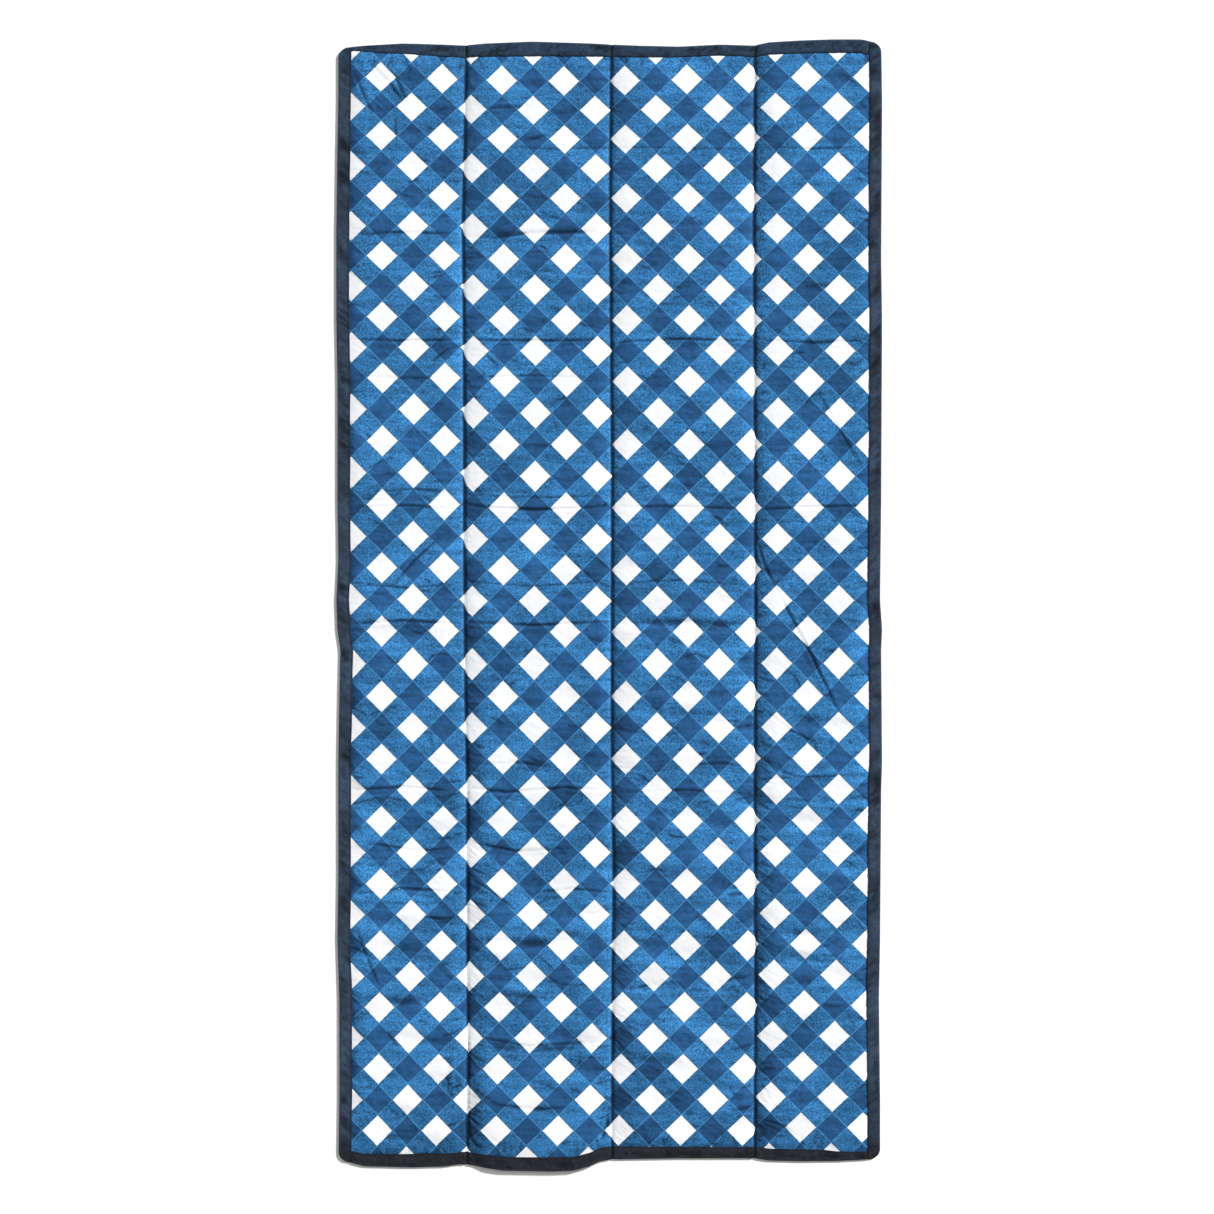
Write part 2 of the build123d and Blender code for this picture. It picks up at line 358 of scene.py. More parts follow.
def new_material(name, roughness, sheen=0.0, specular=0.4):
    material = bpy.data.materials.new(name)
    material.use_nodes = True
    tree = material.node_tree
    shader = tree.nodes["Principled BSDF"]
    shader.inputs["Roughness"].default_value = roughness
    shader.inputs["Sheen Weight"].default_value = sheen
    shader.inputs["Sheen Roughness"].default_value = 0.4
    shader.inputs["Specular IOR Level"].default_value = specular
    return material, tree, shader


def object_place(tree):
    return add(tree, "ShaderNodeTexCoord").outputs["Object"]


def attribute(tree, name):
    return add(tree, "ShaderNodeAttribute", attribute_name=name).outputs["Vector"]


def parted(tree, vector):
    return add(tree, "ShaderNodeSeparateXYZ", {0: vector}).outputs


def woven(tree, place, pitch, turn=0.0):
    """Height of a plain weave: two crossed sets of rounded threads, pitch apart."""
    x, y, _ = parted(tree, stretched(tree, place, (math.pi / pitch,) * 3, turn))
    across = calc(tree, "ABSOLUTE", calc(tree, "SINE", x))
    along = calc(tree, "ABSOLUTE", calc(tree, "SINE", y))
    return calc(tree, "MAXIMUM", across, along)


white = (0.825, 0.835, 0.86)
mid_blue = (0.032, 0.161, 0.370)
navy = (0.0185, 0.084, 0.214)
pale_line = (0.060, 0.25, 0.52)
teal_line = (0.008, 0.085, 0.18)
stripe_edge = 0.2525
line_half_width = 0.011


def printed_cloth():
    """Bias gingham printed on light woven polyester. "print" holds the print's own coordinates: whole
    numbers are the middles of the white squares, and its third value is painted shade that darkens the
    colour in creases, hollows and seam grooves and beside each seam where the cloth turns from the light."""
    material, tree, shader = new_material("printed_cloth", 0.88, 0.02, 0.08)
    place = object_place(tree)
    print_place = attribute(tree, "print")
    a, b, painted_shade = parted(tree, print_place)
    wobble = noise(tree, place, 260.0, 2.0)
    shift = ramp(tree, wobble, 0.3, 0.7, -0.003, 0.003)
    near_a = calc(tree, "ADD", calc(tree, "PINGPONG", a, 0.5), shift)
    near_b = calc(tree, "ADD", calc(tree, "PINGPONG", b, 0.5), shift)
    stripe_a = ramp(tree, near_a, stripe_edge - line_half_width, stripe_edge + 0.003)
    stripe_b = ramp(tree, near_b, stripe_edge - line_half_width, stripe_edge + 0.003)
    either = calc(tree, "MAXIMUM", stripe_a, stripe_b)
    both = times(tree, stripe_a, stripe_b)

    # fine hatched grain, as chambray printed on the cloth
    grain_a = noise(tree, stretched(tree, print_place, (17.0, 46.0, 1.0)), 1.0, 3.0, 0.7)
    grain_b = noise(tree, stretched(tree, print_place, (46.0, 17.0, 1.0)), 1.0, 3.0, 0.7)
    grain = times(tree, calc(tree, "ADD", grain_a, grain_b), 0.5)
    blotch = ramp(tree, noise(tree, place, 22.0, 3.0), 0.3, 0.7, 0.92, 1.08)
    cloud = ramp(tree, noise(tree, place, 4.0, 2.0), 0.3, 0.7, 0.80, 1.20)
    foot_end_tone = ramp(tree, parted(tree, place)[1], -1.45, -1.15, 0.82, 1.0)
    brushed = noise(tree, stretched(tree, place, (8.0, 55.0, 8.0), 0.12), 1.0, 3.0)
    streak = ramp(tree, brushed, 0.3, 0.7, 0.80, 1.20)
    broad = times(tree, blotch, cloud, foot_end_tone, streak)
    mid_tone = times(tree, ramp(tree, grain, 0.42, 0.58, 0.52, 1.50), broad)
    navy_tone = times(tree, ramp(tree, grain, 0.42, 0.58, 0.80, 1.22), broad)
    mid_colour = toned(tree, mid_blue, mid_tone)
    navy_colour = toned(tree, navy, navy_tone)
    blue = mixed(tree, both, mid_colour, navy_colour)

    # a thin pale line round each navy square and a thin dark one round each white square
    line_a = calc(tree, "COMPARE", near_a, stripe_edge, line_half_width)
    line_b = calc(tree, "COMPARE", near_b, stripe_edge, line_half_width)
    pale_a = times(tree, line_a, stripe_b)
    pale_b = times(tree, line_b, stripe_a)
    pale = calc(tree, "MAXIMUM", pale_a, pale_b)
    blue = mixed(tree, times(tree, pale, 0.75), blue, pale_line)
    edge_a = calc(tree, "COMPARE", near_a, stripe_edge + 0.006, 0.012)
    edge_b = calc(tree, "COMPARE", near_b, stripe_edge + 0.006, 0.012)
    dark_a = times(tree, edge_a, calc(tree, "SUBTRACT", 1.0, stripe_b))
    dark_b = times(tree, edge_b, calc(tree, "SUBTRACT", 1.0, stripe_a))
    dark = calc(tree, "MAXIMUM", dark_a, dark_b)
    blue = mixed(tree, times(tree, dark, 0.45), blue, teal_line)

    colour = mixed(tree, either, white, blue)
    # painted shade: the third print value darkens the colour towards near-black, strongly on the blue and
    # weakly on the white
    depth = times(tree, painted_shade, ramp(tree, either, 0.0, 1.0, 0.10, 0.92))
    colour = mixed(tree, depth, colour, (0.004, 0.012, 0.028))
    paint(tree, shader, colour)

    crinkle = noise(tree, stretched(tree, place, (70.0, 120.0, 70.0), 0.3), 1.0, 4.0, 0.6)
    crinkle = times(tree, crinkle, ramp(tree, either, 0.0, 1.0, 0.15, 1.0))
    soft = bumped(tree, shader, crinkle, 1.0 * mm, 0.6)
    bumped(tree, shader, woven(tree, place, 0.9 * mm, math.radians(45)), 0.06 * mm, 0.5, soft)
    return material


def fill_fibre():
    """Loose white polyester fibre."""
    material, tree, shader = new_material("fill_fibre", 0.95, 0.4)
    place = object_place(tree)
    strands = noise(tree, stretched(tree, place, (60.0, 300.0, 60.0), 0.6), 1.0, 5.0, 0.7)
    paint(tree, shader, mixed(tree, strands, (0.80, 0.80, 0.77), (0.95, 0.95, 0.93)))
    bumped(tree, shader, strands, 1.2 * mm, 0.8)
    return material


def backing_weave():
    """Dark water-resistant cloth: a coarse plain weave with a dull coated face."""
    material, tree, shader = new_material("backing_weave", 0.82, 0.04, 0.12)
    place = object_place(tree)
    cloud = noise(tree, place, 9.0, 4.0)
    fleck = noise(tree, place, 420.0, 2.0)
    tone = mixed(tree, ramp(tree, cloud, 0.3, 0.7), (0.023, 0.030, 0.049), (0.032, 0.041, 0.065))
    tone = mixed(tree, times(tree, fleck, 0.35), tone, (0.045, 0.056, 0.084))
    paint(tree, shader, tone)
    crinkle = noise(tree, stretched(tree, place, (45.0, 75.0, 45.0), -0.4), 1.0, 4.0, 0.55)
    soft = bumped(tree, shader, crinkle, 1.4 * mm, 0.6)
    bumped(tree, shader, woven(tree, place, 0.7 * mm), 0.09 * mm, 0.7, soft)
    return material


def tape_weave():
    """Dark slate grosgrain tape, blacker and greyer at the foot, where part of the black is painted shade
    for the foot tape's turn from the light. "along" holds the distance along it and across it and its wear,
    and "shade" how deep in a pucker or an edge each point lies, which darkens the colour as painted shade."""
    material, tree, shader = new_material("tape_weave", 0.88, 0.03, 0.08)
    place = object_place(tree)
    along, _, wear = parted(tree, attribute(tree, "along"))
    shade = parted(tree, attribute(tree, "shade"))[0]
    length = parted(tree, place)[1]
    cloud = noise(tree, place, 7.0, 3.0)
    mottle = noise(tree, place, 95.0, 4.0, 0.6)
    side = mixed(tree, ramp(tree, cloud, 0.35, 0.65), (0.0225, 0.033, 0.052), (0.0335, 0.054, 0.089))
    head = mixed(tree, ramp(tree, length, 1.38, 1.49), side, (0.022, 0.041, 0.073))
    # the foot tape is blacker and greyer, the black partly painted shade for its turn from the light
    colour = mixed(tree, ramp(tree, length, -1.40, -1.48), head, (0.0175, 0.0185, 0.024))
    lighter = toned(tree, colour, 1.75)
    colour = mixed(tree, ramp(tree, mottle, 0.38, 0.72, 0.0, 0.6), colour, lighter)
    colour = mixed(tree, times(tree, wear, 0.5), colour, (0.060, 0.070, 0.085))
    # painted shade: darker in pucker troughs, along the tucked inner edge, in the mitre folds and at the
    # seam notches
    colour = mixed(tree, shade, colour, (0.003, 0.004, 0.006))
    paint(tree, shader, colour)
    ribs = calc(tree, "ABSOLUTE", calc(tree, "SINE", times(tree, along, math.pi / (1.1 * mm))))
    soft = bumped(tree, shader, mottle, 0.9 * mm, 0.6)
    bumped(tree, shader, ribs, 0.10 * mm, 0.6, soft)
    return material


def thread_twist(name, colour):
    """Twisted polyester sewing thread."""
    material, tree, shader = new_material(name, 0.70, 0.06, 0.15)
    place = object_place(tree)
    wave = add(tree, "ShaderNodeTexWave", {"Vector": place, "Scale": 420.0, "Distortion": 2.0})
    turns = wave.outputs["Fac"]
    darker = tuple(value * 0.6 for value in colour)
    paint(tree, shader, mixed(tree, turns, darker, colour))
    bumped(tree, shader, turns, 0.08 * mm, 0.6)
    return material


def webbing_weave():
    """Navy webbing with a herringbone face."""
    material, tree, shader = new_material("webbing_weave", 0.78, 0.05, 0.15)
    along, across, wear = parted(tree, attribute(tree, "along"))
    lean = times(tree, calc(tree, "PINGPONG", across, 4.75 * mm), 1.4)
    turns = times(tree, calc(tree, "ADD", along, lean), 2 * math.pi / (1.5 * mm))
    twill = calc(tree, "SINE", turns)
    tone = ramp(tree, twill, -1.0, 1.0)
    colour = mixed(tree, tone, (0.014, 0.018, 0.034), (0.040, 0.052, 0.086))
    colour = mixed(tree, times(tree, wear, 0.6), colour, (0.09, 0.105, 0.14))
    paint(tree, shader, colour)
    bumped(tree, shader, tone, 0.25 * mm, 0.8)
    return material


def hook_pile(name, colour, pitch, height):
    """Rows of small moulded hooks, or of soft loops, on a dark woven ground."""
    material, tree, shader = new_material(name, 0.75, 0.06, 0.15)
    place = object_place(tree)
    spots = add(tree, "ShaderNodeTexVoronoi", {"Vector": place, "Scale": 1 / pitch, "Randomness": 0.35})
    tips = ramp(tree, spots.outputs["Distance"], 0.1, 0.5, 1.0, 0.0)
    ground = tuple(value * 0.4 for value in colour)
    paint(tree, shader, mixed(tree, tips, ground, colour))
    bumped(tree, shader, tips, height, 0.9)
    return material


def floor_paint():
    """Plain pale studio floor."""
    material, tree, shader = new_material("floor_paint", 0.9)
    place = object_place(tree)
    mottle = noise(tree, place, 3.0, 3.0)
    paint(tree, shader, mixed(tree, mottle, (0.93, 0.93, 0.93), (0.95, 0.95, 0.95)))
    return material


printed = printed_cloth()
fibre = fill_fibre()
backing_cloth = backing_weave()
tape_cloth = tape_weave()
navy_thread = thread_twist("navy_thread", (0.030, 0.045, 0.085))
slate_thread = thread_twist("slate_thread", (0.040, 0.052, 0.075))
webbing_cloth = webbing_weave()
hooks = hook_pile("hooks", (0.045, 0.05, 0.06), 1.3 * mm, 0.35 * mm)
loops = hook_pile("loops", (0.04, 0.05, 0.07), 0.9 * mm, 0.5 * mm)


def make_floor():
    half = 40.0  # wide enough that no view shows its edge against the blanket
    corners = [(-half, -half, 0), (half, -half, 0), (half, half, 0), (-half, half, 0)]
    floor = new_piece("floor", corners, [(0, 1, 2, 3)], floor_paint(), False)


make_floor()


# ================================================================ the laid outline
def by_column(ends, x):
    """The column's own value at each x."""
    return np.select([x < seam for seam in seams], [ends[name] for name in columns[:3]], ends[columns[3]])


def head_line(x):
    """Outer edge of the head tape."""
    return by_column(head_end, x) + through(head_bow, x)


def foot_line(x):
    """Outer edge of the foot tape."""
    return by_column(foot_end, x) - through(foot_bow, x)


def softened(line, x):
    """The line's value at x, averaged over a short reach either side, which rounds its turns."""
    reach = 7 * mm
    steps = np.linspace(-2, 2, 9)
    weights = bell(steps, 1.2)
    return sum(w * line(x + s * reach) for s, w in zip(steps, weights)) / weights.sum()


def left_line(y):
    return left_side - through(left_bow, y)


def right_line(y):
    return right_side + through(right_bow, y)


def wander(x, y):
    """How far the cloth at nominal x lies to the side, at y."""
    shifts = [softened(left_line, y) - left_side]
    shifts += [through(line, y) for line in seam_wander]
    shifts += [softened(right_line, y) - right_side]
    total = np.zeros_like(x)
    for k in range(4):
        share = (x - breaks[k]) / (breaks[k + 1] - breaks[k])
        inside = (x >= breaks[k]) & (x <= breaks[k + 1])
        total = np.where(inside, shifts[k] * (1 - share) + shifts[k + 1] * share, total)
    return total


def lay(x, share):
    """Where the face's point at nominal x and that share of the length lies, in plan."""
    foot = softened(foot_line, x) + through(foot_seen, x) - under_tape
    head = softened(head_line, x) - through(head_seen, x) + under_tape
    y = foot + (head - foot) * share
    return x + wander(x, y), y


def flap_rise(x, y):
    """0 to 1: how much the quilt is lifted by the flap folded under it."""
    margin = 45 * mm
    across = smoothstep(x, flap_low.x - margin, flap_low.x + 10 * mm)
    across = across * (1 - smoothstep(x, flap_high.x, flap_high.x + margin))
    return across * (1 - smoothstep(y, flap_high.y - 10 * mm, flap_high.y + margin))


# ================================================================ the printed face
def face_columns():
    """Nominal x of the grid's columns: close together at the seams, with one on each split."""
    near = np.array([0, 1.2, 2.6, 4.4, 6.8, 9.6, 12.8, 16.5, 20.5, 25, 30]) * mm
    marks = [left_side + tape_width - under_tape, right_side - tape_width + under_tape] + splits
    for seam in seams:
        marks += list(seam - near[::-1]) + list(seam + near[1:])
    return filled(np.sort(marks), 5.4 * mm)


def base_height(x, y, nominal):
    """The quilt's own height: full in the middle of a column and low at its seams and tapes."""
    swell = 0.6 * mm * smooth_random(x, y, 0.13, 0.10, 11) + 0.35 * mm * smooth_random(x, y, 0.05, 0.04, 12)
    lower = smoothstep(-y, -0.6, 0.9)
    swell = swell + (0.7 + 1.7 * lower) * mm * smooth_random(x, y + 0.15 * x, 0.12, 0.034, 13)
    swell = swell - (0.1 + 0.5 * lower) * mm
    rise = np.ones_like(x)
    for seam in seams:
        d = nominal - seam
        far = np.abs(d)
        left = 0.20 * np.exp(-far / (3 * mm)) + 0.80 * (1 - np.clip(far / (34 * mm), 0, 1)) ** 1.25
        right = 0.30 * np.exp(-far / (4 * mm)) + 0.70 * (1 - np.clip(far / (58 * mm), 0, 1)) ** 1.4
        rise = rise * (1 - np.where(d < 0, left, right))
    top = quilt_height + swell
    height = seam_height + (top - seam_height) * rise
    inner_left = left_side + tape_width
    inner_right = right_side - tape_width
    foot = softened(foot_line, nominal) + through(foot_seen, nominal)
    head = softened(head_line, nominal) - through(head_seen, nominal)
    inset = np.minimum.reduce([nominal - inner_left, inner_right - nominal, y - foot, head - y])
    edge = np.exp(-np.maximum(inset, 0) / (15 * mm))
    floor_of_edge = np.minimum(height, rim_height - 1.0 * mm)
    return height * (1 - edge) + floor_of_edge * edge


def read_between(samples, places):
    """Weights that read a row of samples at fractional places along a smooth curve through them."""
    first = np.clip(np.floor(places).astype(int), 0, samples - 2)
    f = places - first
    taps = (
        -0.5 * f + f ** 2 - 0.5 * f ** 3,
        1 - 2.5 * f ** 2 + 1.5 * f ** 3,
        0.5 * f + 2 * f ** 2 - 1.5 * f ** 3,
        -0.5 * f ** 2 + 0.5 * f ** 3,
    )
    weights = np.zeros((len(places), samples))
    rows = np.arange(len(places))
    for offset, tap in zip((-1, 0, 1, 2), taps):
        np.add.at(weights, (rows, np.clip(first + offset, 0, samples - 1)), tap)
    return weights


def spare_length(x, y):
    """How much longer the cut cloth is than the laid one, along the length: it buckles into ripples."""
    lower = smoothstep(-y, -0.3, 1.0)
    patches = 0.5 + 0.5 * smooth_random(x, y, 0.22, 0.16, 21)
    return 0.004 + (0.006 + 0.010 * lower) * patches


cloth_settings = {
    "quality": 4, "mass": 0.05, "air_damping": 2, "pin_stiffness": 1.0,
    "tension_stiffness": 15, "compression_stiffness": 15, "shear_stiffness": 5, "bending_stiffness": 0.12,
    "tension_damping": 5, "compression_damping": 5, "shear_damping": 5, "bending_damping": 0.5,
}


def simulate_face(columns_x, shares):
    """Lets the face cloth settle between its seams and tapes, and returns how each point moves.
    A coarse sheet whose cut shape is a little too long is held at the seams and edges, and its Cloth
    result is read on to the fine grid."""
    coarse_step = 8 * mm
    coarse_x = [columns_x[0]]
    for mark in seams + [columns_x[-1]]:
        count = int(round((mark - coarse_x[-1]) / coarse_step))
        coarse_x += list(np.linspace(coarse_x[-1], mark, count + 1)[1:])
    coarse_x = np.array(coarse_x)
    length = 2.98
    coarse_share = np.linspace(0, 1, int(round(length / coarse_step)) + 1)
    nominal, share = np.meshgrid(coarse_x, coarse_share)
    x, y = lay(nominal, share)
    rng = np.random.default_rng(5)
    z = base_height(x, y, nominal) + rng.normal(0, 0.25 * mm, x.shape)
    start = np.stack([x, y, z], -1)
    sheet = new_piece("settling_cloth", start, grid_faces(*x.shape), printed)

    # the cut shape, longer than the laid one
    growth = spare_length(x, y)
    cut = start.copy()
    cut[1:, :, 1] = start[:1, :, 1] + np.cumsum(np.diff(start[..., 1], axis=0) * (1 + growth[1:]), 0)
    cut[..., 0] = start[..., 0] * 1.003
    sheet.shape_key_add(name="laid")
    key_shape = sheet.shape_key_add(name="cut")
    key_shape.data.foreach_set("co", cut.ravel())

    group = sheet.vertex_groups.new(name="held")
    on_seam = seam_gap(nominal) < coarse_step * 0.3
    edge = np.zeros_like(on_seam)
    edge[[0, -1], :] = True
    edge[:, [0, -1]] = True
    fast = np.flatnonzero((on_seam | edge).ravel())
    loose = np.flatnonzero(~(on_seam | edge).ravel())
    group.add(fast.tolist(), 1.0, "REPLACE")
    group.add(loose.tolist(), 0.035, "REPLACE")
    cloth = sheet.modifiers.new("Cloth", "CLOTH")
    settings = cloth.settings
    for key, value in cloth_settings.items():
        setattr(settings, key, value)
    settings.vertex_group_mass = "held"
    settings.rest_shape_key = key_shape
    settings.effector_weights.gravity = 0.0
    cloth.collision_settings.use_collision = False
    last_frame = 22
    cloth.point_cache.frame_end = last_frame
    for step in range(1, last_frame + 1):
        bpy.context.scene.frame_set(step)
    settled = sheet.evaluated_get(bpy.context.evaluated_depsgraph_get())
    end = np.zeros(start.size)
    settled.data.vertices.foreach_get("co", end)
    moved = end.reshape(start.shape) - start
    moved[..., 2] += z - base_height(x, y, nominal)
    bpy.data.objects.remove(sheet)
    bpy.context.scene.frame_set(1)

    across = read_between(len(coarse_x), np.interp(columns_x, coarse_x, np.arange(len(coarse_x))))
    along = read_between(len(coarse_share), shares * (len(coarse_share) - 1))
    return np.stack([along @ moved[..., k] @ across.T for k in range(3)], -1)


# Creases seen in the photograph: kind, depth in mm, half width in mm, and the points they run through.
# A valley is a pressed-in line, a ridge a raised one, and a sag is a broad soft hollow.
creases = (
    ("valley", 1.6, 3.2, ((-0.70, 0.716), (-0.55, 0.711), (-0.40, 0.714))),
    ("valley", 2.0, 3.0, ((-0.385, 0.716), (-0.30, 0.712), (-0.12, 0.711), (0.0, 0.716))),
    ("valley", 1.6, 3.0, ((0.02, 0.708), (0.20, 0.716), (0.39, 0.709))),
    ("valley", 1.5, 3.0, ((0.40, 0.713), (0.55, 0.706), (0.70, 0.712))),
    ("valley", 1.2, 3.0, ((-0.70, 0.262), (-0.55, 0.268), (-0.40, 0.259))),
    ("valley", 2.4, 3.4, ((-0.385, 0.270), (-0.33, 0.262), (-0.20, 0.256), (-0.05, 0.262), (0.0, 0.268))),
    ("valley", 1.5, 3.0, ((0.01, 0.262), (0.15, 0.266), (0.39, 0.258))),
    ("valley", 1.9, 3.0, ((0.40, 0.256), (0.50, 0.262), (0.70, 0.268))),
    ("valley", 1.0, 2.6, ((-0.38, 0.612), (-0.22, 0.618), (-0.05, 0.611))),
    ("valley", 0.9, 2.6, ((-0.69, 0.617), (-0.55, 0.610), (-0.41, 0.614))),
    ("valley", 1.0, 2.6, ((0.43, 1.232), (0.55, 1.228), (0.69, 1.234))),
    ("valley", 0.7, 2.6, ((-0.36, 1.236), (-0.15, 1.228), (0.1, 1.232), (0.36, 1.226))),
    ("valley", 1.4, 3.0, ((-0.69, 0.997), (-0.55, 1.004), (-0.40, 0.998))),
    ("valley", 2.1, 4.2, ((-0.385, 0.992), (-0.32, 0.988), (-0.22, 1.0), (-0.02, 1.004))),
    ("sag", 1.2, 9.0, ((-0.385, 0.997), (-0.22, 1.004), (-0.02, 1.010))),
    ("valley", 1.0, 2.6, ((-0.67, 0.302), (-0.52, 0.312), (-0.41, 0.300))),
    ("valley", 0.9, 2.6, ((-0.38, 0.296), (-0.2, 0.288), (-0.02, 0.294))),
    ("valley", 1.0, 2.4, ((-0.70, 0.060), (-0.55, 0.045), (-0.40, 0.058))),
    ("valley", 1.0, 2.4, ((-0.38, 0.062), (-0.2, 0.050), (0.0, 0.066))),
    ("valley", 0.9, 2.4, ((0.02, 0.055), (0.2, 0.068), (0.38, 0.050))),
    ("valley", 1.8, 3.6, ((-0.70, -0.052), (-0.56, -0.042), (-0.40, -0.052))),
    ("valley", 1.8, 3.4, ((-0.385, -0.046), (-0.2, -0.055), (0.0, -0.045))),
    ("sag", 2.4, 13.0, ((0.02, -0.052), (0.12, -0.046), (0.26, -0.054), (0.39, -0.048))),
    ("valley", 0.7, 5.0, ((0.06, -0.050), (0.20, -0.045), (0.36, -0.052))),
    ("valley", 1.2, 3.0, ((-0.36, -0.430), (-0.25, -0.424), (-0.16, -0.436))),
    ("valley", 1.1, 3.0, ((0.20, -0.432), (0.30, -0.426), (0.38, -0.438))),
    ("valley", 1.5, 3.4, ((-0.70, -0.500), (-0.56, -0.490), (-0.40, -0.502))),
    ("valley", 2.3, 3.6, ((-0.385, -0.492), (-0.28, -0.505), (-0.12, -0.492), (0.0, -0.500))),
    ("valley", 1.1, 3.0, ((0.02, -0.506), (0.2, -0.498), (0.38, -0.510))),
    ("valley", 1.0, 3.0, ((0.40, -0.470), (0.55, -0.462), (0.70, -0.458))),
    ("valley", 1.3, 3.0, ((-0.66, -0.640), (-0.52, -0.662), (-0.42, -0.655))),
    ("valley", 1.3, 3.0, ((-0.37, -0.640), (-0.25, -0.664), (-0.10, -0.655))),
    ("valley", 1.5, 3.2, ((-0.68, -0.778), (-0.56, -0.764), (-0.42, -0.772))),
    ("valley", 1.3, 3.0, ((-0.20, -0.775), (-0.10, -0.764), (0.0, -0.775))),
    ("valley", 1.4, 3.0, ((-0.52, -0.838), (-0.45, -0.846), (-0.40, -0.838))),
    ("sag", 1.6, 14.0, ((-0.36, -1.185), (-0.2, -1.198), (-0.03, -1.185))),
    ("valley", 1.3, 3.6, ((-0.35, -1.165), (-0.22, -1.188), (-0.05, -1.178))),
    ("valley", 1.5, 4.0, ((-0.375, -1.300), (-0.30, -1.345), (-0.20, -1.358), (-0.10, -1.352))),
    ("sag", 1.3, 14.0, ((-0.66, -1.05), (-0.56, -1.068), (-0.46, -1.055))),
    ("sag", 1.3, 12.0, ((-0.36, -0.90), (-0.22, -0.912), (-0.10, -0.902))),
    ("sag", 1.2, 12.0, ((-0.34, -1.04), (-0.20, -1.058), (-0.06, -1.045))),
    ("valley", 2.0, 3.0, ((0.399, 0.164), (0.42, 0.10), (0.445, 0.050))),
    ("valley", 2.8, 3.2, ((0.445, 0.050), (0.54, -0.13), (0.616, -0.288))),
    ("valley", 1.7, 2.6, ((0.559, 0.578), (0.62, 0.47), (0.684, 0.361))),
    ("valley", 1.4, 2.6, ((0.400, -0.270), (0.49, -0.340), (0.55, -0.370))),
    ("valley", 1.5, 2.6, ((-0.586, 0.050), (-0.52, 0.125), (-0.453, 0.185))),
    ("valley", 1.6, 3.0, ((-0.681, -0.876), (-0.650, -0.96), (-0.619, -1.030))),
    ("valley", 1.1, 2.6, ((-0.619, -1.030), (-0.57, -1.00), (-0.52, -0.955))),
    ("valley", 1.3, 2.6, ((-0.478, 0.656), (-0.44, 0.685), (-0.400, 0.700))),
    ("valley", 1.3, 2.6, ((-0.340, 0.678), (-0.315, 0.655), (-0.296, 0.640))),
    ("valley", 1.6, 3.0, ((-0.380, -0.735), (-0.32, -0.77), (-0.253, -0.824))),
    ("valley", 1.9, 3.0, ((-0.645, 1.460), (-0.59, 1.40), (-0.55, 1.345))),
    ("valley", 1.9, 3.0, ((-0.625, 1.462), (-0.575, 1.42), (-0.540, 1.335))),
    ("valley", 1.5, 3.4, ((-0.690, 1.440), (-0.665, 1.38), (-0.64, 1.32))),
    ("ridge", 1.0, 3.2, ((-0.675, 1.455), (-0.645, 1.37), (-0.60, 1.325))),
    ("valley", 1.1, 2.4, ((-0.575, 1.315), (-0.578, 1.28), (-0.572, 1.235))),
    ("ridge", 0.9, 3.0, ((-0.35, 1.345), (-0.25, 1.352), (-0.13, 1.375))),
    ("valley", 1.0, 3.0, ((-0.35, 1.335), (-0.25, 1.340), (-0.20, 1.345))),
    ("valley", 1.3, 2.6, ((-0.432, -1.215), (-0.438, -1.27), (-0.430, -1.33))),
    ("ridge", 1.4, 4.0, ((-0.418, -1.20), (-0.424, -1.28), (-0.412, -1.36))),
    ("valley", 1.2, 2.8, ((-0.50, -1.245), (-0.46, -1.228), (-0.425, -1.222))),
    ("valley", 1.3, 2.8, ((0.405, -1.385), (0.46, -1.40), (0.50, -1.425))),
    ("valley", 1.3, 2.8, ((0.405, -1.28), (0.43, -1.33), (0.452, -1.36))),
    ("valley", 1.2, 4.4, ((-0.386, -1.36), (-0.382, -1.42), (-0.366, -1.452), (-0.335, -1.472))),
    ("valley", 1.2, 4.4, ((-0.002, -1.35), (-0.006, -1.41), (-0.022, -1.440), (-0.055, -1.462))),
)


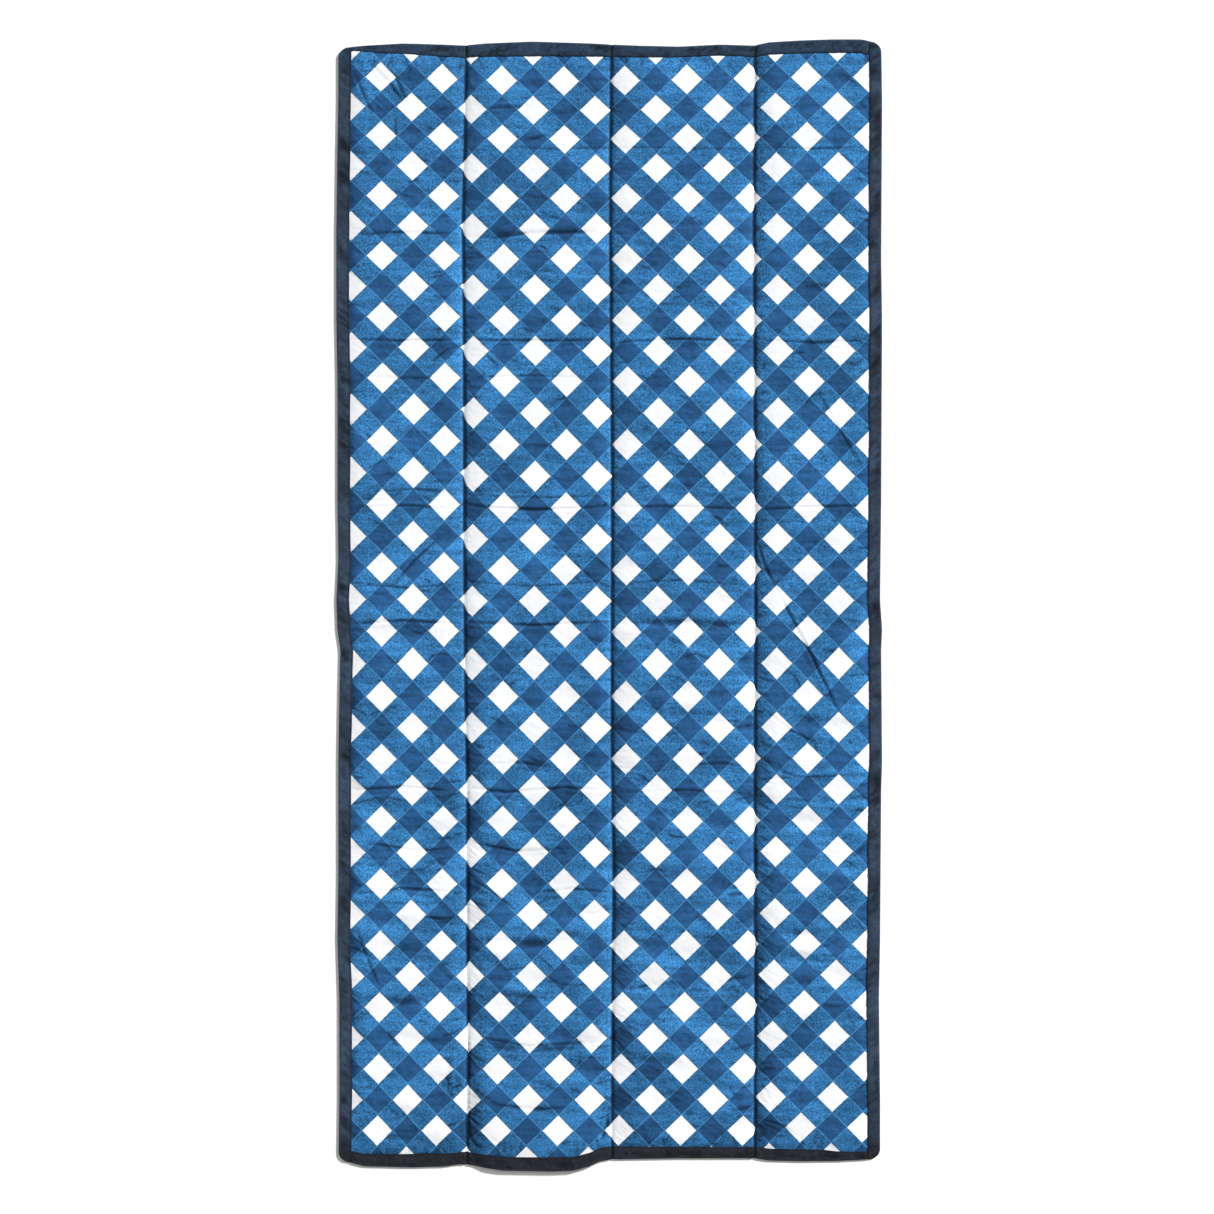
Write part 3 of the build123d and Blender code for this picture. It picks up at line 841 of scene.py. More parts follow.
class Field:
    """The face's heights, which creases are pressed into one at a time, and the painted shade they lay on
    the print's colour.
    """

    def __init__(self, x, y, z):
        self.x = x
        self.y = y
        self.z = z
        self.dark = np.zeros_like(z)

    def press(self, kind, depth, width, points, shade_gain=1.0):
        """Presses one of the creases in. Its depth tapers to nothing at both ends. The last argument is how
        strongly its painted shade darkens the blue print's colour."""
        reach = 5 * width
        line = np.array(points, float)
        low = line.min(0) - reach
        high = line.max(0) + reach
        rows = np.flatnonzero((self.y.max(1) > low[1]) & (self.y.min(1) < high[1]))
        cols = np.flatnonzero((self.x.max(0) > low[0]) & (self.x.min(0) < high[0]))
        if len(rows) == 0 or len(cols) == 0:
            return
        window = (slice(rows[0], rows[-1] + 1), slice(cols[0], cols[-1] + 1))
        place = np.stack([self.x[window], self.y[window]], -1)
        pieces = np.diff(line, axis=0)
        lengths = np.linalg.norm(pieces, axis=1)
        total = lengths.sum()
        nearest = np.full(place.shape[:2], 1e9)
        run = np.zeros_like(nearest)
        done = 0.0
        for start, piece, length in zip(line[:-1], pieces, lengths):
            share = np.clip(((place - start) @ piece) / length ** 2, 0, 1)
            gap = np.linalg.norm(place - start - share[..., None] * piece, axis=-1)
            closer = gap < nearest
            nearest = np.where(closer, gap, nearest)
            run = np.where(closer, done + share * length, run)
            done += length
        taper = np.clip(4 * (run / total) * (1 - run / total), 0, 1) ** 0.6
        d = nearest / width
        if kind == "valley":
            shape = -np.exp(-d) + 0.42 * bell(d - 2.2, 1.3)
        elif kind == "ridge":
            shape = np.exp(-d * d) - 0.3 * bell(d - 2.2, 1.0)
        else:
            shape = -np.exp(-d * d) + 0.25 * bell(d - 1.8, 0.8)
        self.z[window] += depth * taper * shape
        # painted shade: valleys and sags darken the print's colour along their line, ridges leave none
        if kind == "ridge":
            return
        if kind == "valley":
            spread = 0.75 * bell(nearest, 1.1 * width) + 0.35 * bell(nearest, 3.4 * width)
        else:
            spread = 0.8 * bell(nearest, 0.9 * width)
        uneven = 0.75 + 0.5 * random_line(run + line[0, 0], 28 * mm, 14)
        shade = min(shade_gain * depth / (1.6 * mm), 1.0) * taper * spread * uneven
        self.dark[window] = np.maximum(self.dark[window], shade)


def press_creases(field):
    for kind, depth, width, points in creases:
        field.press(kind, 1.2 * depth * mm, width * mm, points)


def press_seam_puckers(field):
    """Short gathers that fan out from each seam, mostly from its right side and down to the right."""
    rng = np.random.default_rng(31)
    for k, seam in enumerate(seams):
        y = -1.45
        while y < 1.45:
            lower = smoothstep(-y, -0.2, 0.9)
            y += rng.uniform(9, 30) * mm / (0.8 + 0.7 * lower)
            side = 1 if rng.random() < 0.72 else -1
            length = rng.uniform(18, 60) * mm * (0.7 + 0.6 * lower)
            lean = rng.uniform(-0.35, 0.1) - (0.5 * lower if side > 0 else 0.1)
            x0 = seam + side * rng.uniform(2, 6) * mm
            x1 = x0 + side * length * math.cos(lean)
            x2 = x0 + side * length * 0.5 * math.cos(lean)
            rise = length * math.sin(lean)
            points = ((x0, y), (x2, y + 0.6 * rise), (x1, y + rise))
            kind = "valley" if rng.random() < 0.7 else "ridge"
            depth = rng.uniform(0.3, 1.0) * mm * (0.7 + 0.6 * lower)
            field.press(kind, 0.7 * depth, rng.uniform(1.8, 3.2) * mm, points, 2.6)


def press_edge_puckers(field):
    """Short gathers that run in from the edge tapes."""
    rng = np.random.default_rng(32)
    inner_left = left_side + tape_width
    inner_right = right_side - tape_width
    for _ in range(150):
        y = rng.uniform(-1.44, 1.44)
        side = rng.choice((-1, 1))
        edge = inner_right if side > 0 else inner_left
        length = rng.uniform(12, 50) * mm
        slope = rng.uniform(-0.6, 0.4)
        middle = (edge - side * length * 0.5, y + slope * length * 0.4)
        points = ((edge, y), middle, (edge - side * length, y + slope * length))
        field.press("valley", rng.uniform(0.25, 0.8) * mm, rng.uniform(1.8, 3.0) * mm, points, 1.6)
    for _ in range(150):
        x = rng.uniform(-0.69, 0.69)
        head = rng.random() < 0.5
        edge = head_line(np.array(x)) - 0.032 if head else foot_line(np.array(x)) + 0.034
        length = rng.uniform(12, 55) * mm * (-1 if head else 1)
        slope = rng.uniform(-0.5, 0.5)
        middle = (x + slope * length * 0.4, edge + length * 0.5)
        points = ((x, edge), middle, (x + slope * length, edge + length))
        field.press("valley", rng.uniform(0.25, 0.8) * mm, rng.uniform(1.8, 3.0) * mm, points, 1.6)


def press_crinkles(field):
    """Small random creases all over, most of them crosswise, and more of them in the lower half."""
    rng = np.random.default_rng(33)
    for _ in range(1000):
        x = rng.uniform(-0.69, 0.69)
        y = 1.46 - 2.92 * rng.random() ** 0.8
        length = rng.uniform(18, 85) * mm
        angle = rng.normal(-0.12, 0.42)
        step = 0.5 * length * np.array([math.cos(angle), math.sin(angle)])
        bend = rng.normal(0, 0.10) * length
        middle = np.array([x, y])
        side = np.array([-math.sin(angle), math.cos(angle)]) * bend
        points = (middle - step, middle + side, middle + step)
        if any(min(points[0][0], points[2][0]) < seam < max(points[0][0], points[2][0]) for seam in seams):
            continue
        kind = "valley" if rng.random() < 0.75 else "ridge"
        field.press(kind, rng.uniform(0.2, 0.75) * mm, rng.uniform(1.8, 3.4) * mm, points, 2.0)


# The print, in metres of cloth. A white square's middle lies at print_start in the laid blanket, and the
# others lie half_lattice apart each way, at every second place.
half_lattice = 83.5 * mm
print_start = (-0.2860, 1.4151)
# cloth hidden in each seam's groove, in mm
seam_take = (6.7, 3.0, 11.7)
# the print's drift along the length, its bow across the head end and its lean, as (place, mm)
print_drift = (
    (-1.41, 8.5), (-0.8, 5), (-0.25, 8), (-0.1, 15), (0.2, 14.5), (0.6, 22), (1.1, 15), (1.25, 11),
    (1.415, 2.5),
)
# more drift in the left column, and in the right one
left_drift = ((-0.2, 0), (0.1, 7), (0.4, 10), (0.9, 10), (1.2, 4), (1.41, 0))
right_drift = ((-1.45, 9), (-1.1, 5), (-0.4, 2), (0.1, 2), (0.3, 0))
print_bow = ((-0.61, 4.5), (-0.448, -1), (-0.29, -5.5), (-0.118, -7.7), (0.045, -6), (0.21, -3), (0.53, 4))
print_lean = ((-1.45, -21), (-1.2, -13), (-0.9, -6), (-0.5, -1), (0.0, 0), (0.6, 4), (1.1, 0), (1.41, -4))


def print_coordinates(nominal, x, y):
    """The print's own coordinates at each point: whole numbers in the middles of the white squares."""
    hidden = -seam_take[0] * mm * (1 - past_seam(nominal, 0))
    hidden = hidden + seam_take[1] * mm * past_seam(nominal, 1)
    hidden = hidden + seam_take[2] * mm * past_seam(nominal, 2)
    far_left = 1 - 0.5 * smoothstep(-nominal, 0.45, 0.70)
    across = x + hidden - through(print_lean, y) * far_left - print_start[0]
    fade = smoothstep(y, 1.0, 1.415)
    drift = through(print_drift, y) + through(print_bow, x) * fade
    drift = drift + through(left_drift, y) * (1 - past_seam(nominal, 0))
    drift = drift + through(right_drift, y) * past_seam(nominal, 2)
    along = y - drift - print_start[1]
    return (across + along) / (2 * half_lattice), (across - along) / (2 * half_lattice)


def grid_normals(points):
    along = np.gradient(points, axis=0)
    across = np.gradient(points, axis=1)
    normals = np.cross(across, along)
    return normals / np.linalg.norm(normals, axis=-1, keepdims=True)


def face_surface():
    """The whole face as one grid: nominal x, points, print coordinates with painted shade, and normals."""
    columns_x = face_columns()
    rows = 925
    shares = np.linspace(0, 1, rows)
    nominal, share = np.meshgrid(columns_x, shares)
    x, y = lay(nominal, share)
    z = base_height(x, y, nominal)
    moved = simulate_face(columns_x, shares)
    limit = 3 * mm
    x = x + np.clip(moved[..., 0], -limit, limit)
    y = y + np.clip(moved[..., 1], -limit, limit)
    z = z + np.clip(moved[..., 2], -limit, limit)
    field = Field(x, y, z)
    press_creases(field)
    press_seam_puckers(field)
    press_edge_puckers(field)
    press_crinkles(field)
    gap = seam_gap(nominal)
    lift = flap_rise(x, y)
    z = field.z + flap_lift * lift
    # the needle holds the seams down, and the cloth never rises past the fold's height
    hold = bell(gap, 4.5 * mm)
    z = z * (1 - hold) + (seam_height - 0.6 * mm + flap_lift * lift) * hold
    top = highest + (highest_over_flap - highest) * lift
    ease = 0.5 * mm
    z = top - ease * np.log1p(np.exp((top - z) / ease))
    z = np.maximum(z, 1.6 * mm + flap_lift * lift)
    # painted shade in the print's colour: darker in hollows, along the crease lines and in each seam's
    # groove
    hollow = np.clip((blurred(z, 2) - z) / (1.1 * mm), 0, 1)
    groove = np.clip(1.5 * bell(gap, 3.3 * mm), 0, 1)
    light = (1 - 0.6 * hollow) * (1 - np.clip(0.9 * field.dark, 0, 1)) * (1 - groove)
    lower = smoothstep(-y, -0.6, 0.9)
    # painted shade in a band right of each seam, where the cloth slopes away from the light
    for seam in seams:
        right_of = (nominal - seam) / ((24 + 14 * lower) * mm)
        beside = np.where(right_of > 0, np.exp(-np.abs(right_of) ** 1.4), 0)
        uneven = 1 + 0.35 * random_line(y, 45 * mm, 15)
        light = light * (1 - (0.42 + 0.14 * lower) * uneven * beside)
    a, b = print_coordinates(nominal, x, y)
    # the unprinted white hides its finest creases, so it is shaded as a smoother surface
    from_middle = np.maximum(np.abs(a - np.round(a)), np.abs(b - np.round(b)))
    plain = 1 - smoothstep(from_middle, stripe_edge - 0.03, stripe_edge + 0.01)
    shaded_z = z + 0.65 * plain * (blurred(z, 4) - z)
    points = np.stack([x, y, z], -1)
    return columns_x, points, np.stack([a, b, 1 - light], -1), grid_normals(np.stack([x, y, shaded_z], -1))


def strip_columns(columns_x, k):
    """First and last column of strip k of a grid."""
    marks = [columns_x[0]] + splits + [columns_x[-1]]
    first = int(np.argmin(np.abs(columns_x - marks[k])))
    last = int(np.argmin(np.abs(columns_x - marks[k + 1])))
    return first, last


def bend_over(piece):
    """Bakes the piece's placement into its points."""
    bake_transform(piece)


def make_face():
    columns_x, points, print_and_shade, normals = face_surface()
    made = []
    for k, name in enumerate(strip_names):
        first, last = strip_columns(columns_x, k)
        part = points[:, first:last + 1]
        piece = new_piece("face_" + name, part, grid_faces(*part.shape[:2]), printed)
        put_vector(piece, "print", print_and_shade[:, first:last + 1])
        piece.data.normals_split_custom_set_from_vertices(normals[:, first:last + 1].reshape(-1, 3).tolist())
        bend_over(piece)
        made.append(piece)
    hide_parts("face_outer_left", "face_inner_left")
    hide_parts("face_inner_right")
    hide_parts("face_outer_right")
    return made, columns_x, points


faces, face_x, face_points = make_face()


def face_height(x, y):
    """Height of the face at places inside it, read from the grid."""
    column = np.interp(x, face_points[0, :, 0], np.arange(len(face_x)))
    near = np.clip(np.round(column).astype(int), 0, len(face_x) - 1)
    out = np.zeros_like(x)
    for n, (c, place) in enumerate(zip(near, y)):
        out[n] = np.interp(place, face_points[:, c, 1], face_points[:, c, 2])
    return out


# ================================================================ the fill
def make_fill():
    """One soft slab of fibre in each column, clear of the folds."""
    made = []
    # how far the fill stays from its column's two sides: the tape, an outer fold or the centre fold
    outer_fold = 14 * mm
    centre_fold = 26 * mm
    left_gaps = (tape_width, outer_fold, centre_fold, outer_fold)
    right_gaps = (outer_fold, centre_fold, outer_fold, tape_width)
    end_gap = 44 * mm
    face_gap = 3.4 * mm
    for k, name in enumerate(columns):
        x_row = np.linspace(breaks[k] + left_gaps[k], breaks[k + 1] - right_gaps[k], 17)
        foot = foot_end[name] + end_gap
        head = head_end[name] - end_gap
        y_row = np.linspace(foot, head, 90)
        x, y = np.meshgrid(x_row, y_row)
        low = np.full_like(x, 0.9 * mm) + flap_lift * flap_rise(x, y) + 0.2 * mm
        top = face_height(x.ravel(), y.ravel()).reshape(x.shape) - face_gap
        top = np.maximum(top, low + 0.5 * mm)
        edge = np.minimum.reduce([x - x_row[0], x_row[-1] - x, y - foot, head - y])
        round_off = np.sqrt(np.clip(edge / (9 * mm), 0, 1))
        middle = (low + top) / 2
        upper = middle + (top - middle) * round_off
        lower = middle - (middle - low) * round_off
        piece = closed_slab("fill_" + name, np.stack([x, y, upper], -1), np.stack([x, y, lower], -1), fibre)
        weld(piece, 0.01 * mm)
        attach(piece, name)
        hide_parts("batting_" + name)
        made.append(piece)
    return made


def weld(piece, distance):
    """Joins points that lie together."""
    shape = bmesh.new()
    shape.from_mesh(piece.data)
    bmesh.ops.remove_doubles(shape, verts=shape.verts, dist=distance)
    bmesh.ops.recalc_face_normals(shape, faces=shape.faces)
    shape.to_mesh(piece.data)
    shape.free()
    piece.data.shade_smooth()


fills = make_fill()


# ================================================================ the backing
def backing_height(x, y, nominal):
    """The underside: flat on the floor, drawn up a little at the seams, and lifted off the flap."""
    gap = seam_gap(nominal)
    ripple = np.abs(smooth_random(x + 0.4 * y, y, 0.06, 0.022, 41))
    ripple = ripple + 0.6 * smooth_random(x, y, 0.02, 0.014, 42)
    height = 0.35 * mm + 0.30 * mm * np.clip(ripple, 0, 1) + 0.4 * mm * bell(gap, 5 * mm)
    loop_low, loop_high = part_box("loop_tape")
    near = 6 * mm
    over_loop = between(x, loop_low.x, loop_high.x, near) * between(y, loop_low.y, loop_high.y, near)
    return height + 0.75 * mm * over_loop + flap_lift * flap_rise(x, y)


def make_backing():
    near = np.array([0, 2, 4, 6, 8.5, 11, 14, 17, 20, 24, 28]) * mm
    inset = 24 * mm
    marks = [left_side + inset, right_side - inset] + splits
    for seam in seams:
        marks += list(seam - near[::-1]) + list(seam + near[1:])
    x_row = filled(np.sort(marks), 8 * mm)
    nominal, share = np.meshgrid(x_row, np.linspace(0, 1, 330))
    foot = softened(foot_line, nominal) + inset
    head = softened(head_line, nominal) - inset
    y = foot + (head - foot) * share
    x = nominal + wander(nominal, y)
    points = np.stack([x, y, backing_height(x, y, nominal)], -1)
    made = []
    for k, name in enumerate(strip_names):
        first, last = strip_columns(x_row, k)
        part = points[:, first:last + 1]
        piece = new_piece("backing_" + name, part, grid_faces(*part.shape[:2])[:, ::-1], backing_cloth)
        bend_over(piece)
        made.append(piece)
    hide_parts("backing_outer_left", "backing_inner_left")
    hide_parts("backing_inner_right")
    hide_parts("backing_outer_right")
    return made


backings = make_backing()


# ================================================================ the edge tape
tape_under = 36 * mm


def folded_tape(outer, inward, seen, under, base, thick, inner_top, relief, seed):
    """A tape folded round an edge, as one sheet. outer and inward are the plan of its outer edge and the
    way in from it; seen and under are its widths on top and below. Returns its points, how far along and
    across each one is with its wear, how deeply each one is shaded, and the line its stitches follow."""
    run = np.concatenate([[0], np.cumsum(np.linalg.norm(np.diff(outer, axis=0), axis=1))])
    radius = thick / 2
    rise = base + thick
    # each row of points along the tape: its inset from the outer edge, its height and its shade
    rows = []
    for share in (1.0, 0.66, 0.33):
        rows.append((radius + (under - radius) * share, base, 0))
    for angle in np.radians((-90, -60, -30, 0, 30, 60, 90)):
        rows.append((radius * (1 - math.cos(angle)), base + radius * (1 + math.sin(angle)), 0))
    strength = relief * (0.5 + 0.5 * random_line(run, 120 * mm, seed + 2))
    stitched_share = 0.90
    for share in (0.1, 0.2, 0.32, 0.44, 0.56, 0.68, 0.79, stitched_share, 0.96, 1.0):
        inset = radius + (seen - radius) * share
        skewed = run + 0.7 * inset
        fine = np.abs(smooth_random(skewed, inset, 9 * mm, 60 * mm, seed)) * 2 - 0.8
        broad = smooth_random(skewed, inset, 30 * mm, 40 * mm, seed + 1)
        waves = (0.42 * fine + 0.40 * broad) * math.sin(math.pi * (0.12 + 0.80 * share)) ** 0.7
        height = rise + (inner_top - rise) * share ** 1.5 + np.maximum(waves * strength, -0.25 * mm)
        # painted shade in the pucker troughs and towards the tucked inner edge
        shade = np.clip(-1.6 * waves, 0, 0.75) + 0.5 * smoothstep(share, 0.75, 1.0)
        if share == stitched_share:
            height = height - 0.25 * mm
            stitched_row = len(rows)
        rows.append((inset, height, shade))
    # the inner edge tucks under in full painted shade
    rows.append((seen + 0.45 * mm, height - 0.35 * mm, 1))
    rows.append((seen + 0.25 * mm, height - 1.0 * mm, 1))
    insets, heights, shades = (np.stack([row[k] + 0 * run for row in rows], 1) for k in range(3))
    plan = outer[:, None, :] + inward[:, None, :] * insets[..., None]
    points = np.concatenate([plan, heights[..., None]], -1)
    wear = bell(insets, 3 * mm) * np.clip(0.4 + 0.8 * random_line(run, 40 * mm, seed + 3), 0, 1)[:, None]
    along = np.stack([np.repeat(run[:, None], insets.shape[1], 1), insets, wear], -1)
    return points, along, shades, points[:, stitched_row] + np.array([0, 0, 0.20 * mm])


def put_tape_places(piece, along, shades):
    """Stores what the tape's weave and its painted shade are drawn from."""
    put_vector(piece, "along", along)
    put_vector(piece, "shade", np.repeat(shades[..., None], 3, -1))


def capsules(starts, ends, radius, sides=5):
    """Small rounded rods from starts to ends, as one set of points and faces."""
    axis = ends - starts
    length = np.linalg.norm(axis, axis=1, keepdims=True)
    axis = axis / length
    up = np.array([0.0, 0.0, 1.0])
    across = np.cross(axis, up)
    across = across / np.maximum(np.linalg.norm(across, axis=1, keepdims=True), 1e-9)
    over = np.cross(across, axis)
    rings = []
    for share in (0.18, 0.82):
        centre = starts + axis * length * share
        for k in range(sides):
            angle = 2 * math.pi * k / sides
            rings.append(centre + radius * (math.cos(angle) * across + math.sin(angle) * over))
    sunk = up * radius * 0.6
    points = np.stack([starts - sunk] + rings + [ends - sunk], 1)
    faces = []
    last = 2 * sides + 1
    for k in range(sides):
        n = (k + 1) % sides
        faces.append((0, 1 + n, 1 + k))
        faces.append((1 + k, 1 + n, 1 + sides + n))
        faces.append((1 + k, 1 + sides + n, 1 + sides + k))
        faces.append((last, 1 + sides + k, 1 + sides + n))
    per = points.shape[1]
    all_faces = (np.array(faces)[None] + per * np.arange(len(starts))[:, None, None]).reshape(-1, 3)
    return points.reshape(-1, 3), all_faces


def stitch_ends(line, pitch, length, seed):
    """Starts and ends of the stitches along a line of points."""
    gaps = np.linalg.norm(np.diff(line, axis=0), axis=1)
    run = np.concatenate([[0], np.cumsum(gaps)])
    rng = np.random.default_rng(seed)
    starts_at = np.arange(0.4 * pitch, run[-1] - pitch, pitch)
    starts_at = starts_at + rng.normal(0, 0.10 * mm, len(starts_at))
    starts = np.stack([np.interp(starts_at, run, line[:, k]) for k in range(3)], 1)
    ends = np.stack([np.interp(starts_at + length, run, line[:, k]) for k in range(3)], 1)
    slant = rng.normal(0, 0.10 * mm, (len(starts), 2))
    ends[:, :2] += slant
    return starts, ends


def stitch_piece(name, lines, material, radius=0.26 * mm, pitch=4 * mm):
    """Rows of stitches along the given lines."""
    pairs = [stitch_ends(line, pitch, 0.72 * pitch, 51 + k) for k, line in enumerate(lines)]
    starts = np.concatenate([pair[0] for pair in pairs])
    ends = np.concatenate([pair[1] for pair in pairs])
    piece = new_piece(name, *capsules(starts, ends, radius), material)
    return piece


def make_side_tape(side, body, line, seed):
    """One side tape, with its round corners and rolled ends."""
    sign = 1 if side == "left" else -1
    edge = left_side if side == "left" else right_side
    middle = np.array(edge + sign * tape_width / 2)
    foot = float(softened(foot_line, middle))
    head = float(softened(head_line, middle))
    near = np.array([0, 0.25, 0.6, 1.1, 1.8, 2.7, 4, 5.5, 7.5, 10, 13, 17, 22, 27, 32]) * mm
    open_run = np.linspace(foot + near[-1], head - near[-1], 590)[1:-1]
    y = np.concatenate([foot + near, open_run, head - near[::-1]])
    from_end = np.minimum(y - foot, head - y)
    inside = np.clip(corner_radius - from_end, 0, corner_radius)
    cut = corner_radius - np.sqrt(corner_radius ** 2 - inside ** 2)
    outer = np.stack([softened(line, y) + sign * cut, y], 1)
    inward = np.tile((sign, 0.0), (len(y), 1))
    wobble = 1.0 * mm * random_line(y, 70 * mm, seed + 5)
    seen = tape_width - cut + wobble
    closed = np.sqrt(np.clip(1 - (1 - np.clip(from_end / (2.2 * mm), 0, 1)) ** 2, 0.02, 1))
    thick = tape_thick * closed
    base = 0.12 * mm + 0.45 * (tape_thick - thick)
    inner_top = base + thick + 0.15 * mm * closed
    relief = 2.0 * mm * closed * smoothstep(from_end, 0, 20 * mm)
    under = np.maximum(tape_under - cut, seen + 1 * mm)
    points, along, shades, stitches = folded_tape(
        outer, inward, seen, under, base, thick, inner_top, relief, seed)
    # the mitred fold at each corner, a shallow line from the inner corner to the outer one, with painted
    # shade along it
    diagonal = along[..., 1] - from_end[:, None]
    on_top = points[..., 2] > (base + 0.8 * thick)[:, None]
    mitre = np.exp(-np.abs(diagonal) / (1.6 * mm)) * on_top * (from_end < tape_width + 2 * mm)[:, None]
    points[..., 2] -= 0.55 * mm * mitre * closed[:, None]
    shades = np.maximum(shades, 0.7 * mitre)
    piece = new_piece("tape_" + side, points, grid_faces(*points.shape[:2]), tape_cloth)
    if side == "right":
        piece.data.flip_normals()
    put_tape_places(piece, along, shades)
    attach(piece, body)
    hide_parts("side_binding_" + side)
    keep = from_end > 6 * mm
    thread = stitch_piece("stitches_" + side, [stitches[keep]], slate_thread)
    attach(thread, body)
    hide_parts("side_thread_" + side)


def make_end_tapes(end, line, seen_line, seed):
    """The head or the foot tape, in three strips, one over each fold."""
    sign = -1 if end == "head" else 1
    start = left_side + tape_width - 15 * mm
    stop = right_side - tape_width + 15 * mm
    near = np.array([-28, -24, -20, -17, -14, -11, -9, -7, -5, -2.5, -1]) * mm
    near = np.concatenate([near, [0], -near[::-1]])
    x = filled(np.sort(np.concatenate([[start, stop], splits] + [seam + near for seam in seams])), 4.5 * mm)
    gap = seam_gap(x)
    pinch = bell(gap, 3.5 * mm)
    outer_y = softened(line, x)
    shift = wander(x, outer_y)
    outer = np.stack([x + shift, outer_y + sign * 1.2 * mm * pinch], 1)
    inward = np.tile((0.0, sign), (len(x), 1))
    seen = through(seen_line, x) + 0.9 * mm * random_line(x, 50 * mm, seed + 5)
    tucked = 1 - smoothstep(np.minimum(x - start, stop - x), 12 * mm, 18 * mm)
    lift = flap_rise(x, outer_y) * flap_lift
    base = (0.12 * mm + lift) if end == "foot" else 0.12 * mm + 0 * x
    thick = tape_thick - 1.0 * mm * tucked - 1.3 * mm * pinch
    inner_top = base + thick + 0.1 * mm - 0.3 * mm * tucked - 0.5 * mm * pinch
    relief = 2.0 * mm * (1 - tucked) * (1 - 0.7 * pinch)
    under = np.full_like(x, tape_under)
    points, along, shades, stitches = folded_tape(
        outer, inward, seen, under, base, thick, inner_top, relief, seed)
    # painted shade in the notch where each seam pinches the tape
    shades = np.maximum(shades, 0.85 * bell(gap, 4.5 * mm)[:, None])
    names = ("outer_left", "inner_left"), ("inner_right",), ("outer_right",)
    for k, name in enumerate(strip_names):
        first, last = strip_columns(x, k)
        part = slice(first, last + 1)
        own = points[part]
        piece = new_piece("tape_" + end + "_" + name, own, grid_faces(*own.shape[:2]), tape_cloth)
        if end == "head":
            piece.data.flip_normals()
        put_tape_places(piece, along[part], shades[part])
        bend_over(piece)
        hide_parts(*(end + "_binding_" + body for body in names[k]))
        thread = stitch_piece("stitches_" + end + "_" + name, [stitches[part]], slate_thread)
        bend_over(thread)
        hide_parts(*(end + "_thread_" + body for body in names[k]))


make_side_tape("left", "outer_left", left_line, 61)
make_side_tape("right", "outer_right", right_line, 71)
make_end_tapes("head", head_line, head_seen, 81)
make_end_tapes("foot", foot_line, foot_seen, 91)


def make_seam_stitches():
    """The sewn lines that part the columns."""
    for k, name in enumerate(strip_names):
        column = int(np.argmin(np.abs(face_x - seams[k])))
        line = face_points[6:-6, column] + np.array([0, 0, 0.15 * mm])
        piece = stitch_piece("stitches_seam_" + name, [line], navy_thread, 0.30 * mm)
        bend_over(piece)
        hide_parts("seam_thread_" + name)


make_seam_stitches()


# ================================================================ closure flap and carry handle
flap_mid_x = (flap_low.x + flap_high.x) / 2
flap_corner = 30 * mm
flap_tape_width = 14 * mm
flap_mid_z = (flap_low.z + flap_high.z) / 2


def make_flap_cloth():
    """The flap's own cloth, sewn on at the foot tape and folded under."""
    half = (flap_high.x - flap_low.x) / 2 - 1 * mm
    root = hinge_y - 15 * mm
    shares = np.linspace(0, 1, 45)
    y = root + (flap_high.y - 1 * mm - root) * shares
    from_end = flap_high.y - 1 * mm - y
    inside = np.clip(flap_corner - from_end, 0, flap_corner)
    half_at = half - (flap_corner - np.sqrt(flap_corner ** 2 - inside ** 2))
    across = np.linspace(-1, 1, 56)
    x = flap_mid_x + half_at[:, None] * across[None]
    y = np.repeat(y[:, None], 56, 1)
    wave = 0.10 * mm * smooth_random(x, y, 0.035, 0.025, 101)
    sewn = 1 - smoothstep(y, root, hinge_y + 4 * mm)
    z = flap_mid_z + wave + (flap_lift - 0.2 * mm - flap_mid_z) * sewn
    piece = new_piece("flap_cloth_sheet", np.stack([x, y, z], -1), grid_faces(*x.shape), backing_cloth)
    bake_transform(piece)
    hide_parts("flap_cloth")


def flap_outline(inset):
    """The flap's edge from its left root round the free end to its right root, pulled in by inset."""
    step = 4 * mm
    half = (flap_high.x - flap_low.x) / 2 - inset
    radius = flap_corner - inset
    top = flap_high.y - inset
    straight = np.arange(hinge_y, top - radius, step)
    turn = np.linspace(0, math.pi / 2, 14)
    left = np.stack([np.full_like(straight, -half), straight], 1)
    corner = np.stack([-half + radius * (1 - np.cos(turn)), top - radius + radius * np.sin(turn)], 1)
    flat = np.arange(-half + radius + step, 0, step)
    end = np.stack([flat, np.full_like(flat, top)], 1)
    way = np.concatenate([left, corner, end])
    mirrored = way[::-1] * np.array([-1, 1])
    line = np.concatenate([way, mirrored])
    line[:, 0] += flap_mid_x
    return line


def make_flap_trim():
    low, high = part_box("flap_binding")
    outer = flap_outline(0.0)
    direction = np.gradient(outer, axis=0)
    direction = direction / np.linalg.norm(direction, axis=1, keepdims=True)
    inward = np.stack([direction[:, 1], -direction[:, 0]], 1)
    ones = np.ones(len(outer))
    width = flap_tape_width * ones
    points, along, shades, stitches = folded_tape(
        outer, inward, width, width, low.z * ones, (high.z - low.z) * ones,
        high.z * ones, 0.25 * mm * ones, 111)
    trim = new_piece("flap_tape", points, grid_faces(*points.shape[:2])[:, ::-1], tape_cloth)
    put_tape_places(trim, along, shades)
    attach(trim, "flap")
    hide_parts("flap_binding")
    below = flap_outline(flap_tape_width - 2 * mm)
    below = np.column_stack([below, np.full(len(below), low.z - 0.05 * mm)])
    thread = stitch_piece("flap_stitches", [stitches[2:-2], below[2:-2]], slate_thread, 0.22 * mm, 3.2 * mm)
    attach(thread, "flap")
    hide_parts("flap_thread")


